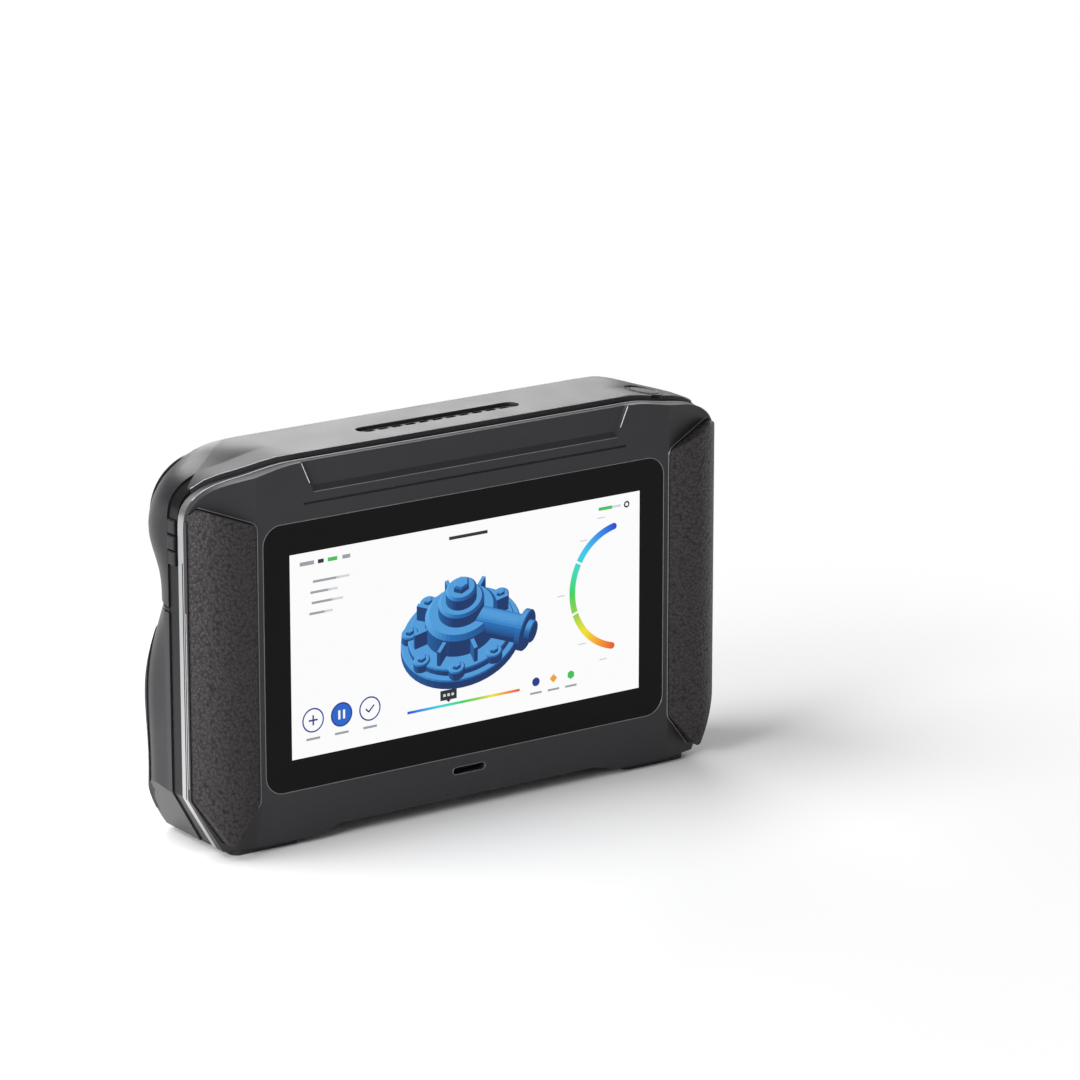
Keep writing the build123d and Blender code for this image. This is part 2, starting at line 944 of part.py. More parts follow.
def make_speaker():
    """Small speaker behind the slot under the screen."""
    half = speaker_width / 2
    tall = speaker_height / 2
    return block(
        -half, half, cover_depth_middle, cover_depth_middle + speaker_thickness, slot_z - tall, slot_z + tall
    )


def make_battery():
    """Flat battery pack behind the upper half of the web."""
    middle = (battery_top + battery_bottom) / 2
    sheet = Pos(0, middle) * RectangleRounded(battery_width, battery_top - battery_bottom, battery_corner)
    return through(sheet, web_back, web_back + battery_thickness)


def pod_plane(side):
    """Plane of a camera pod's front face, turned towards the middle of the view."""
    turn = side * radians(pod_toe_in)
    return Plane(
        origin=(side * pod_x, pod_depth_middle, sensor_z),
        x_dir=(-cos(turn), -sin(turn), 0),
        z_dir=(-sin(turn), cos(turn), 0),
    )


def pod_shape(margin):
    """Rounded outline of a camera pod with a margin around it."""
    return SlotOverall(pod_length + 2 * margin, pod_width + 2 * margin)


pod_board_front = -pod_glass_thickness
pod_web_front = pod_board_front - pod_board_thickness
pod_web_back = pod_web_front - pod_web
barrel_radius = lens_bore / 2 - barrel_gap
colour_radius = colour_camera_bore / 2 - barrel_gap
emitter_radius = emitter_bore / 2 - barrel_gap
lens_place = Pos(-lens_offset, 0)
colour_place = Pos(colour_camera_x, 0)


def led_places():
    """Places of the lamps around the lens, each turned towards it."""
    step = 360 / led_count
    return [lens_place * Rot(0, 0, index * step) * Pos(0, led_ring_radius) for index in range(led_count)]


def emitter_places():
    """Places of the two infrared emitters beside the colour camera."""
    return [Pos(emitter_x, emitter_z), Pos(emitter_x, -emitter_z)]


def make_pod_housing(side):
    """Glossy rounded tube with a web that carries the lens, the lamps and the small camera."""
    plane = pod_plane(side)
    pod = on_plane(plane, pod_shape(0), -pod_body, 0)
    front = pod.faces().sort_by(Axis(plane.origin, plane.z_dir))[-1]
    pod = fillet(front.edges(), pod_edge)
    pod -= on_plane(plane, pod_shape(-pod_rim), pod_web_front, cut_overrun)
    pod -= on_plane(plane, pod_shape(-pod_wall), -pod_body - cut_overrun, pod_web_back)
    holes = lens_place * Circle(barrel_radius) + colour_place * Circle(colour_radius)
    return pod - on_plane(plane, holes, pod_web_back - cut_overrun, cut_overrun)


def make_pod_cover(side):
    """Black cover plate of a pod with openings for the lens, the lamps and the sensors."""
    sheet = pod_shape(-pod_rim)
    sheet -= lens_place * Circle(lens_bore / 2)
    sheet -= colour_place * Circle(colour_camera_bore / 2)
    for place in led_places():
        sheet -= place * Rectangle(led_size, led_size)
    for place in emitter_places():
        sheet -= place * Circle(emitter_bore / 2)
    return on_plane(pod_plane(side), sheet, pod_board_front, 0)


def make_led_board(side):
    """Board behind the cover plate, with holes for the barrel and the small camera."""
    sheet = pod_shape(-pod_rim) - lens_place * Circle(barrel_radius) - colour_place * Circle(colour_radius)
    return on_plane(pod_plane(side), sheet, pod_web_front, pod_board_front)


def make_led_chips(side):
    """Six square lamps on the board."""
    size = led_size - 2 * led_gap
    return [
        on_plane(pod_plane(side), place * Rectangle(size, size), pod_board_front, -led_sink)
        for place in led_places()
    ]


def make_emitters(side):
    """Two round infrared emitters on the board."""
    return [
        on_plane(pod_plane(side), place * Circle(emitter_radius), pod_board_front, -led_sink)
        for place in emitter_places()
    ]


def make_camera_barrel(side):
    """Lens barrel with a wide mouth and a shoulder for the lens."""
    plane = pod_plane(side)
    barrel = on_plane(plane, lens_place * Circle(barrel_radius), -barrel_length, 0)
    mouth = lens_place * Circle(barrel_radius - barrel_wall)
    barrel -= on_plane(plane, mouth, -lens_recess - lens_thickness, cut_overrun)
    return barrel - on_plane(plane, lens_place * Circle(lens_radius), -barrel_length - cut_overrun, 0)


def make_camera_lens(side):
    """Domed front lens that sits on the barrel's shoulder."""
    radius = barrel_radius - barrel_wall
    low = -lens_recess - lens_thickness
    profile = Plane.XZ * make_face(
        [
            Polyline((0, -lens_recess), (0, low), (radius, low), (radius, low + lens_thickness / 2)),
            Spline(
                (radius, low + lens_thickness / 2),
                (radius * lens_crown_share, -lens_recess - lens_thickness * lens_sag_share),
                (0, -lens_recess),
                tangents=None,
            ),
        ]
    )
    return pod_plane(side) * lens_place * revolve(profile, Axis.Z)


def make_camera_module(side):
    """Image sensor block behind the barrel."""
    square = lens_place * Rectangle(module_size, module_size)
    return on_plane(pod_plane(side), square, -barrel_length - module_depth, -barrel_length)


def make_colour_camera(side):
    """Small camera beside the main lens, with a sunk front."""
    plane = pod_plane(side)
    body = on_plane(plane, colour_place * Circle(colour_radius), -colour_camera_length, 0)
    mouth = colour_place * Circle(colour_radius - colour_rim)
    body -= on_plane(plane, mouth, -colour_sink, cut_overrun)
    lens = colour_place * Circle(colour_lens_radius)
    return body + on_plane(plane, lens, -colour_sink, -colour_sink / 2)


def window_items():
    """Openings of the centre window: name, place in front view, outline from half size and margin."""
    up = laser_rise
    return {
        "range": [(sensor_x, 0, 0)],
        "flash": [(flash_left_x, 0, 0), (flash_right_x, 0, 0)],
        "laser": [
            (laser_straight_x, up, 0),
            (laser_straight_x, -up, 0),
            (laser_tilted_x, up, laser_tilt),
            (laser_tilted_x, -up, -laser_tilt),
        ],
    }


def item_outline(kind, margin):
    """Outline of one kind of optical module, with a margin around it."""
    if kind == "range":
        return Circle(sensor_bore / 2 + margin)
    if kind == "flash":
        return RectangleRounded(flash_width + 2 * margin, flash_height + 2 * margin, flash_corner + margin)
    return RectangleRounded(laser_width + 2 * margin, laser_height + 2 * margin, laser_corner + margin)


def item_sketches(kind, margin):
    """All outlines of one kind of module at their places in the centre window."""
    return [
        Pos(x, sensor_z + z) * Rot(0, 0, turn) * item_outline(kind, margin)
        for x, z, turn in window_items()[kind]
    ]


def window_shape(margin):
    """Rounded outline of the centre window with a margin around it."""
    return Pos(0, sensor_z) * SlotOverall(window_length + 2 * margin, window_width + 2 * margin)


def make_window_rim():
    """Thin bright rim around the centre window."""
    ring = window_shape(0) - window_shape(-window_rim)
    return through(ring, bar_depth - window_thickness, bar_depth)


def make_centre_window():
    """Black plate with the openings of the light sources."""
    sheet = window_shape(-window_rim)
    for kind in window_items():
        for outline in item_sketches(kind, 0):
            sheet -= outline
    return through(sheet, bar_depth - window_thickness, bar_depth)


sensor_board_back = bar_depth - module_sink - module_length
sensor_board_front = sensor_board_back - sensor_board_thickness


def make_modules(kind):
    """Optical modules of one kind, standing on the sensor board."""
    back = bar_depth - module_sink
    return [through(outline, sensor_board_back, back) for outline in item_sketches(kind, -module_gap)]


def make_sensor_board():
    """Board that carries the light sources behind the centre window."""
    sheet = Pos(0, sensor_z) * Rectangle(sensor_board_width, sensor_board_height)
    return through(sheet, sensor_board_front, sensor_board_back)


def make_head_housing():
    """Housing around the sensors: a shell with two pod collars, the window seat and the reveal strip."""
    shell = top_skin + head_ledge
    head = head_body(0) - head_body(shell)
    for side in (left, right):
        collar = on_plane(pod_plane(side), pod_shape(pod_seat_gap + pod_collar), -pod_collar_length, 0)
        head += collar & head_body(0)
    for side in (left, right):
        for up in (left, right):
            post = Pos(side * sensor_post_x, sensor_z + up * sensor_post_rise) * Circle(sensor_post_radius)
            head += through(post, sensor_board_back, bar_depth - shell)
    reveal = extrude(back_section(neck_height, neck_back_shares, reveal_inset), amount=reveal_height)
    reveal -= extrude(back_section(neck_height, neck_back_shares, reveal_inset + shell), amount=reveal_height)
    head += reveal
    strip_low = neck_height + reveal_strip_rise
    strip = extrude(back_section(strip_low, neck_back_shares, reveal_strip_inset), amount=reveal_strip_height)
    strip -= extrude(back_section(strip_low, neck_back_shares, reveal_inset + shell), amount=reveal_strip_height)
    head += strip
    head -= roof_zone() - upper_body(top_skin)
    head -= bevel_cut()
    for side in (left, right):
        plane = pod_plane(side)
        head -= on_plane(plane, pod_shape(pod_seat_gap), -pod_body - pod_body, pod_body)
        mouth = on_plane(plane, pod_shape(pod_mouth_gap), -pod_body, pod_body)
        head -= mouth & block(-case_width, case_width, bar_depth - pod_mouth_depth, case_width, 0, case_width)
    head -= through(window_shape(0), bar_depth - window_thickness, case_width)
    for kind in window_items():
        for outline in item_sketches(kind, 0):
            head -= through(outline, bar_depth - shell - cut_overrun, case_width)
    head -= power_pocket_cut()
    head -= trigger_cut()
    return head


def make_optical_frame():
    """Stiff metal bar that holds both main cameras at a fixed angle to each other."""
    bar = block(
        -optic_bar_half,
        optic_bar_half,
        optic_bar_front,
        optic_bar_back,
        sensor_z - optic_bar_height / 2,
        sensor_z + optic_bar_height / 2,
    )
    behind_bar = block(-case_width, case_width, optic_bar_front, case_width, 0, case_width)
    for side in (left, right):
        square = lens_place * Rectangle(module_size, module_size)
        top = -barrel_length - module_depth
        bar += on_plane(pod_plane(side), square, top - optic_pad_length, top) & behind_bar
    return bar


def corner_cuts(margin):
    """Space outside the case's cut lower corners, moved inwards, and under its arched foot line."""
    slope = corner_cut_in / corner_cut_rise
    reach = corner_cut_rise * 2
    corner = half_width - corner_cut_in - margin
    half = [
        (corner - cut_overrun * slope, foot_height - cut_overrun),
        (corner + reach * slope, foot_height + reach),
        (case_width, foot_height + reach),
        (case_width, foot_height - cut_overrun),
    ]
    arch = [(arch_half + arch_ramp, foot_height), (arch_half, foot_height + arch_height)]
    lower = [(arch_half + arch_ramp, foot_height - cut_overrun)]
    sketch = Polygon(*half, align=None)
    sketch += mirror(sketch, Plane.YZ)
    sketch += Polygon(*mirrored(lower + arch), align=None)
    return through(sketch, 0, case_width)


def pad_outline(side):
    """Front-view outline of a rear grip pad with a raised outer shoulder."""
    half = [
        (pad_inner_x, pad_bottom),
        (pad_inner_x, pad_top_inner),
        (pad_shoulder_x, pad_top_outer),
        (case_width, pad_top_outer),
        (case_width, pad_bottom),
    ]
    shape = fillet(Polygon(*half, align=None).vertices(), pad_corner)
    return shape if side == right else mirror(shape, Plane.YZ)


def pad_space(side):
    """Space of a rear grip pad, from its front edge to well outside the case."""
    return through(pad_outline(side), pad_start_depth, case_width)


def make_rear_grip(side):
    """Rubber pad of a rear grip, standing slightly proud of the housing."""
    pad = (back_body(-pad_proud) & pad_space(side)) - back_body(pad_sink)
    return pad - corner_cuts(0)


def make_back_cover():
    """Lower back of the case with two grips, a waist under the head and the vent opening."""
    cover = back_body(0)
    for side in (left, right):
        cover -= pad_space(side)
        cover += back_body(pad_sink) & pad_space(side)
    cover -= corner_cuts(0)
    floor = block(-case_width, case_width, 0, case_width, 0, foot_height + arch_height + back_wall)
    cover -= back_body(back_wall) - floor - corner_cuts(corner_wall)
    plate = Pos(0, vent_z) * RectangleRounded(vent_plate_width, vent_plate_height, vent_plate_corner)
    cover -= through(plate, wall_depth - vent_plate_thickness, case_width)
    return cover - through(inset(plate, vent_ledge), frame_back, case_width)


def vent_places():
    """Hole centres of the grille with the size of each hole: small along the border, full inside."""
    rise = vent_pitch * sin(radians(60))
    places = []
    for row in range(vent_rows):
        count = vent_columns - row % 2
        for column in range(count):
            border = min(row, vent_rows - 1 - row, column, count - 1 - column)
            size = {0: vent_hole_edge, 1: vent_hole_second}.get(border, vent_hole)
            x = (column - (count - 1) / 2) * vent_pitch
            places.append((x, vent_z + (row - (vent_rows - 1) / 2) * rise, size))
    return places


def make_vent_grille():
    """Flush plate with a field of small six-sided holes that fade out towards its border."""
    plate = Pos(0, vent_z) * RectangleRounded(vent_plate_width, vent_plate_height, vent_plate_corner)
    holes = Sketch() + [Pos(x, z) * RegularPolygon(size / 2, 6) for x, z, size in vent_places()]
    return through(plate - holes, wall_depth - vent_plate_thickness, wall_depth)


fan_back = wall_depth - back_wall
fan_front = fan_back - fan_thickness
hub_front = fan_front + fan_spoke_thickness + fan_blade_gap


def make_fan_frame():
    """Square fan frame with a bearing pin on three spokes."""
    square = Pos(0, vent_z) * Rectangle(fan_size, fan_size)
    ring = square - Pos(0, vent_z) * Circle(fan_bore_radius)
    frame = through(ring, fan_front, fan_back)
    spokes = Sketch() + [
        Pos(0, vent_z) * Rot(0, 0, index * 360 / fan_spokes) * Pos(fan_bore_radius / 2, 0)
        * Rectangle(fan_bore_radius + fan_spoke_width, fan_spoke_width)
        for index in range(fan_spokes)
    ]
    spokes += Pos(0, vent_z) * Circle(fan_hub_radius)
    frame += through(spokes, fan_front, fan_front + fan_spoke_thickness)
    return frame + through(Pos(0, vent_z) * Circle(fan_pin_radius), fan_front, fan_back - fan_blade_gap)


def make_fan_rotor():
    """Hub with pitched blades, running on the frame's pin."""
    middle = (hub_front + fan_back) / 2
    long = fan_back - fan_blade_gap - hub_front
    hub = Pos(0, vent_z) * (Circle(fan_hub_radius) - Circle(fan_pin_radius + fan_running_gap))
    rotor = through(hub, hub_front, fan_back - fan_blade_gap)
    reach = fan_bore_radius - fan_tip_gap
    sweep_space = Pos(0, vent_z) * (Circle(reach) - Circle(fan_pin_radius + fan_running_gap))
    blade = Pos((fan_hub_radius + reach) / 2, 0, 0) * Rot(fan_blade_pitch, 0, 0)
    blade *= Box(reach - fan_hub_radius + fan_hub_radius / 2, fan_blade_thickness, 2 * fan_thickness)
    turned = Pos(0, middle, vent_z) * Rot(90, 0, 0)
    blades = [turned * Rot(0, 0, index * 360 / fan_blades) * blade for index in range(fan_blades)]
    space = through(sweep_space, hub_front, fan_back - fan_blade_gap)
    for piece in blades:
        rotor += piece & space
    return rotor


def make_heat_sink():
    """Finned cooler on the main board, in front of the fan."""
    half = sink_width / 2
    low = vent_z - half
    high = vent_z + half
    base_back = board_back + sink_base
    sink = block(-half, half, board_back, base_back, low, high)
    count = int(sink_width / sink_fin_pitch)
    for index in range(count + 1):
        x = (index - count / 2) * sink_fin_pitch
        thick = sink_fin_thickness / 2
        x = max(-half + thick, min(half - thick, x))
        sink += block(x - thick, x + thick, base_back, fan_front - sink_fan_gap, low, high)
    return sink


def make_foot(side):
    """Rubber strip under one side of the case."""
    middle = side * (foot_inner + foot_outer) / 2
    strip = Pos(middle, (foot_front + foot_back) / 2) * RectangleRounded(
        foot_outer - foot_inner, foot_back - foot_front, foot_corner
    )
    return upright(strip, 0, foot_height)


pieces = {
    "front_cover": make_front_cover(),
    "display_glass": make_display_glass(),
    "display_panel": make_display_panel(),
    "trim_ring": make_trim_ring(),
    "middle_frame": make_middle_frame(),
    "top_cover": make_top_cover(),
    "top_vent_insert": make_top_vent(),
    "power_collar": make_power_collar(),
    "power_button": make_power_button(),
    "power_switch": make_power_switch(),
    "side_key_upper": make_side_key(1, key_proud),
    "side_key_middle": make_side_key(0, key_middle_proud),
    "side_key_lower": make_side_key(-1, key_proud),
    "key_board": make_key_board(),
    "trigger_button": make_trigger_button(),
    "trigger_board": make_trigger_board(),
    "head_housing": make_head_housing(),
    "centre_window": make_centre_window(),
    "window_rim": make_window_rim(),
    "laser_modules": make_modules("laser"),
    "flash_modules": make_modules("flash"),
    "range_sensor": make_modules("range"),
    "sensor_board": make_sensor_board(),
    "optical_frame": make_optical_frame(),
    "back_cover": make_back_cover(),
    "vent_grille": make_vent_grille(),
    "fan_frame": make_fan_frame(),
    "fan_rotor": make_fan_rotor(),
    "heat_sink": make_heat_sink(),
    "main_board": make_main_board(),
    "board_screws": make_board_screws(),
    "charging_port": make_charging_port(),
    "battery_pack": make_battery(),
    "speaker": make_speaker(),
}
for side, name in sides:
    pieces["front_grip_" + name] = make_front_grip(side)
    pieces["rear_grip_" + name] = make_rear_grip(side)
    pieces["foot_" + name] = make_foot(side)
    pieces["pod_housing_" + name] = make_pod_housing(side)
    pieces["pod_cover_" + name] = make_pod_cover(side)
    pieces["led_board_" + name] = make_led_board(side)
    pieces["led_chips_" + name] = make_led_chips(side)
    pieces["emitters_" + name] = make_emitters(side)
    pieces["camera_barrel_" + name] = make_camera_barrel(side)
    pieces["camera_lens_" + name] = make_camera_lens(side)
    pieces["camera_module_" + name] = make_camera_module(side)
    pieces["colour_camera_" + name] = make_colour_camera(side)


def as_solids(piece):
    """The separate solids of a piece, given as one shape or as a list of shapes."""
    shapes = piece if isinstance(piece, list) else [piece]
    return [solid for shape in shapes for solid in shape.solids()]


whole = Compound(children=[solid for piece in pieces.values() for solid in as_solids(piece)]).bounding_box()
middle_depth = (whole.min.Y + whole.max.Y) / 2

os.makedirs("parts", exist_ok=True)
for name, piece in pieces.items():
    solids = [Pos(0, -middle_depth, 0) * solid for solid in as_solids(piece)]
    body = solids[0] if len(solids) == 1 else Compound(children=solids)
    export_step(body, "parts/" + name + ".step")
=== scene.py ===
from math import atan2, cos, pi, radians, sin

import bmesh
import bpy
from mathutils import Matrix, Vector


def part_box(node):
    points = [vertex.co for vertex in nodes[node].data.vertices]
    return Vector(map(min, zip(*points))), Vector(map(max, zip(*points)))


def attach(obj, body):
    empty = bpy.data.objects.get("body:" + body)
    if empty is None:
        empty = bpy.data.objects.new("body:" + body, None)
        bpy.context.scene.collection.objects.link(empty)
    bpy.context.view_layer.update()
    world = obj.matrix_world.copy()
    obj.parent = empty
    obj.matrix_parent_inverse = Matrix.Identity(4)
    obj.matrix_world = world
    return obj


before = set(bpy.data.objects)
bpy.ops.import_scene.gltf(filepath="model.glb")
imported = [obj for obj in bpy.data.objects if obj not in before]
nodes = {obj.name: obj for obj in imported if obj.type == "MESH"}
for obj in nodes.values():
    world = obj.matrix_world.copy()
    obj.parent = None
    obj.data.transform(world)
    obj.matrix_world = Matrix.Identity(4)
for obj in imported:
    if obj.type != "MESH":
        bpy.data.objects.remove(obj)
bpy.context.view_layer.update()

# %% [markdown]
# # A handheld three-d scanner
# The scanner has a touch screen in front, rubber grips on both sides and a bar of cameras behind.
# Its rigid parts come from the CAD model as separate nodes. This lesson gives each of them a finish,
# adds the small trim that is too fine for the CAD model, draws a picture on the screen, and sets up
# the floor, the light and the camera.

# %% [markdown]
# ## Lengths in millimetres
# Blender works in metres here, but a product is drawn in millimetres. One constant turns one into
# the other. The middle of the screen's glass is the place that the picture on it is measured from.

# %% Units and reference places
MM = 0.001
glass_low, glass_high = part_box("display_glass")
SCREEN = Vector(((glass_low.x + glass_high.x) / 2, glass_low.y, (glass_low.z + glass_high.z) / 2))
print("screen middle in mm:", [round(v / MM, 2) for v in SCREEN])

# %% [markdown]
# ## Colours
# Colours are written as sRGB hex values, as a paint shop or a picture editor would give them.
# Shaders need linear light, so one function turns a hex value into the linear colour.


# %% Hex value to linear colour
def linear(hex_value):
    channels = [int(hex_value[i:i + 2], 16) / 255 for i in (1, 3, 5)]
    curve = [c / 12.92 if c <= 0.04045 else ((c + 0.055) / 1.055) ** 2.4 for c in channels]
    return (*curve, 1.0)


print("mid grey is", [round(c, 3) for c in linear("#808080")])

# %% [markdown]
# ## Materials as node trees
# Every finish is built from the same few steps: start a material, add nodes with their settings and
# links, and join the last one to the Principled shader. One small function adds any node. A value
# that is a pair of a node and a socket name becomes a link, any other value is set on the socket.
# Inputs that are named i0, i1 and so on are meant by number, because some nodes repeat a name.


# %% Helpers for node trees
def new_finish(name, **shader_inputs):
    finish = bpy.data.materials.new(name)
    finish.use_nodes = True
    tree = finish.node_tree
    shader = tree.nodes["Principled BSDF"]
    for socket, value in shader_inputs.items():
        shader.inputs[socket.replace("_", " ")].default_value = value
    return finish, tree, shader


def add(tree, kind, settings=None, **inputs):
    node = tree.nodes.new(kind)
    for name, value in (settings or {}).items():
        setattr(node, name, value)
    for name, value in inputs.items():
        by_number = name[0] == "i" and name[1:].isdigit()
        socket = node.inputs[int(name[1:]) if by_number else name.replace("_", " ")]
        if isinstance(value, tuple) and len(value) == 2 and hasattr(value[0], "outputs"):
            tree.links.new(value[0].outputs[value[1]], socket)
        else:
            socket.default_value = value
    return node


def join(tree, node, output, shader, socket):
    tree.links.new(node.outputs[output], shader.inputs[socket])


# %% [markdown]
# Most finishes share four steps: a noise, its spread over the roughness, its relief as a bump, and
# two colours that are mixed by it. `MM` lets their sizes be written in millimetres.


# %% Steps that many finishes share
def noise(tree, place, scale, detail):
    return add(tree, "ShaderNodeTexNoise", Vector=(place, "Object"), Scale=scale, Detail=detail)


def roughen(tree, shader, node, output, low, high):
    rough = add(tree, "ShaderNodeMapRange", Value=(node, output), To_Min=low, To_Max=high)
    join(tree, rough, "Result", shader, "Roughness")


def emboss(tree, shader, node, output, strength, depth_mm):
    relief = add(tree, "ShaderNodeBump", Height=(node, output), Strength=strength, Distance=depth_mm * MM)
    join(tree, relief, "Normal", shader, "Normal")


def colour_by(tree, shader, node, output, first, second):
    colours = {"i6": linear(first), "i7": linear(second)}
    tone = add(tree, "ShaderNodeMix", {"data_type": "RGBA"}, i0=(node, output), **colours)
    join(tree, tone, 2, shader, "Base Color")


CLOUD_SCALE, WEAR_SCALE = 28.0, 60.0
print("shared steps ready, clouds and wear per metre:", CLOUD_SCALE, WEAR_SCALE)

# %% [markdown]
# ## Moulded ABS housing
# The bezel, the sensor bar and the back are injection moulded in charcoal plastic. The mould is
# spark eroded, which leaves a fine grain of about a third of a millimetre: it spreads the highlight
# to a satin sheen. The colour drifts a little where the plastic flowed, and handling polishes it
# slightly, so roughness gets a slow variation too.


# %% Finish for moulded plastic
def moulded_plastic(name, dark, light, roughness, grain_mm, depth_mm, shine=0.3):
    finish, tree, shader = new_finish(name, Specular_IOR_Level=shine)
    place = add(tree, "ShaderNodeTexCoord")
    colour_by(tree, shader, noise(tree, place, CLOUD_SCALE, 3.0), "Fac", dark, light)
    worn = noise(tree, place, WEAR_SCALE, 5.0)
    roughen(tree, shader, worn, "Fac", roughness - 0.05, roughness + 0.07)
    emboss(tree, shader, noise(tree, place, 1 / (grain_mm * MM), 2.0), "Fac", 0.35, depth_mm)
    return finish


charcoal_abs = moulded_plastic("moulded_abs_charcoal", "#2a2a2d", "#303033", 0.42, 0.35, 0.03)
frame_abs = moulded_plastic("moulded_abs_frame_black", "#0e0e0f", "#131314", 0.26, 0.35, 0.01, 0.2)
# The back takes a darker copy of the charcoal plastic: painted shade.
back_abs_shaded = moulded_plastic("moulded_abs_back_painted_shade", "#232225", "#2a292c", 0.34, 0.35, 0.03, 0.45)
roof_abs = moulded_plastic("moulded_abs_roof_grey", "#302f32", "#38373a", 0.44, 0.30, 0.02, 0.3)
key_abs = moulded_plastic("moulded_abs_key", "#1c1c1e", "#222224", 0.34, 0.30, 0.01)
# Light grey for thin edge beads: painted highlight.
lip_highlight_abs = moulded_plastic("painted_highlight_lip", "#727175", "#7d7c80", 0.28, 0.30, 0.005, 0.5)
# Near white for bright edge lines: painted highlight.
highlight_silver = moulded_plastic("painted_highlight_silver", "#bdbdc0", "#cacacc", 0.30, 0.25, 0.005, 0.5)
print("moulded finishes made")

# %% [markdown]
# The ends of the sensor bar are a little darker than its middle, as painted shade for its turned wings.
# The colour changes over a third of a millimetre, 40.5 mm to each side of the middle.


# %% Sensor bar finish with painted shade on its wings
def bar_with_shaded_wings(name, middle, wings, half_mm, roughness):
    finish = moulded_plastic(name, middle, middle, roughness, 0.35, 0.03)
    tree = finish.node_tree
    shader = tree.nodes["Principled BSDF"]
    place = add(tree, "ShaderNodeTexCoord")
    across = add(tree, "ShaderNodeSeparateXYZ", Vector=(place, "Object"))
    aside = add(tree, "ShaderNodeMath", {"operation": "ABSOLUTE"}, i0=(across, "X"))
    ends = {"From_Min": half_mm * MM, "From_Max": (half_mm + 0.3) * MM}
    outside = add(tree, "ShaderNodeMapRange", Value=(aside, "Value"), **ends)
    cloud = noise(tree, place, CLOUD_SCALE, 3.0)
    drift = add(tree, "ShaderNodeMapRange", Value=(cloud, "Fac"), To_Min=-0.1, To_Max=0.1)
    share = add(tree, "ShaderNodeMath", {"operation": "ADD"}, i0=(outside, "Result"), i1=(drift, "Result"))
    colour_by(tree, shader, share, "Value", middle, wings)
    return finish


# The bar's wings are darker than its middle: painted shade.
bar_abs = bar_with_shaded_wings("moulded_abs_sensor_bar_shaded_wings", "#28272b", "#1d1c1f", 40.5, 0.36)
print("sensor bar finish made")

# %% [markdown]
# ## Pebbled rubber grips
# The grips are overmoulded thermoplastic rubber with a leather-like pebble about one millimetre
# across. Small cells with rounded tops give that relief. Rubber has a broad dull highlight and
# looks slightly brown beside the housing.


# %% Finish for the rubber grips and the soles
def pebbled_rubber(name, dark, light, cell_mm, depth_mm, roughness):
    finish, tree, shader = new_finish(name, Specular_IOR_Level=0.3)
    place = add(tree, "ShaderNodeTexCoord")
    wobble = noise(tree, place, WOBBLE_SCALE, 2.0)
    kind = "ShaderNodeVectorMath"
    offset = add(tree, kind, {"operation": "SCALE"}, i0=(wobble, "Color"), Scale=0.5 * MM)
    moved = add(tree, kind, {"operation": "ADD"}, i0=(place, "Object"), i1=(offset, "Vector"))
    round_cells = {"feature": "SMOOTH_F1"}
    size = {"Scale": 1 / (cell_mm * MM), "Smoothness": 0.25}
    cells = add(tree, "ShaderNodeTexVoronoi", round_cells, Vector=(moved, "Vector"), **size)
    colour_by(tree, shader, cells, "Distance", light, dark)
    roughen(tree, shader, cells, "Distance", roughness - 0.08, roughness + 0.1)
    top = add(tree, "ShaderNodeMath", {"operation": "SUBTRACT"}, i0=1.0, i1=(cells, "Distance"))
    emboss(tree, shader, top, "Value", 1.0, depth_mm)
    return finish


WOBBLE_SCALE = 900.0
grip_rubber = pebbled_rubber("pebbled_grip_rubber", "#151314", "#423d3f", 1.0, 0.30, 0.5)
# The rear grips take a darker copy of the grip rubber: painted shade.
rear_rubber_shaded = pebbled_rubber("pebbled_rear_rubber_painted_shade", "#0e0c0d", "#2a2728", 1.0, 0.26, 0.54)
sole_rubber = pebbled_rubber("moulded_sole_rubber", "#29292b", "#37373a", 2.2, 0.05, 0.62)
print("rubber finishes made")

# %% [markdown]
# ## Satin silver trim
# The bright line between the bezel and the frame is a strip of metallised plastic. It is bead
# blasted before plating, so it mirrors only softly.


# %% Finish for silver trim and bare metal
def satin_metal(name, colour, roughness, grain_mm):
    finish, tree, shader = new_finish(name, Base_Color=linear(colour), Metallic=1.0)
    place = add(tree, "ShaderNodeTexCoord")
    grain = noise(tree, place, 1 / (grain_mm * MM), 3.0)
    roughen(tree, shader, grain, "Fac", roughness - 0.06, roughness + 0.06)
    emboss(tree, shader, grain, "Fac", 0.25, 0.01)
    return finish


trim_silver = satin_metal("plated_trim_satin", "#c6c6c8", 0.30, 0.25)
# Grey satin for rims and frames, also used for painted edge highlights such as the pods' bead.
rim_metal_and_highlight = satin_metal("blackened_rim_satin_and_highlight", "#6c6d70", 0.34, 0.25)
cast_alloy = satin_metal("cast_alloy_bead_blasted", "#a8a9ab", 0.48, 0.5)
steel = satin_metal("drawn_steel_plain", "#b8b9ba", 0.28, 0.4)
print("metal finishes made")

# %% [markdown]
# ## Glass and gloss plastic
# The screen's cover glass is printed black around the picture, and the sensor pods are gloss
# polycarbonate. Both are almost black with a sharp clear reflection. A very faint waviness keeps
# the reflection from looking computed.


# %% Finish for glossy black surfaces
def gloss_black(name, colour, roughness, wave_mm, shine=0.3, coat=0.0):
    finish, tree, shader = new_finish(name, Base_Color=linear(colour), Coat_Weight=coat, Coat_Roughness=0.03)
    shader.inputs["Specular IOR Level"].default_value = shine
    place = add(tree, "ShaderNodeTexCoord")
    wave = noise(tree, place, 1 / (wave_mm * MM), 1.0)
    roughen(tree, shader, wave, "Fac", roughness, roughness + 0.05)
    emboss(tree, shader, wave, "Fac", 0.03, 0.05)
    return finish


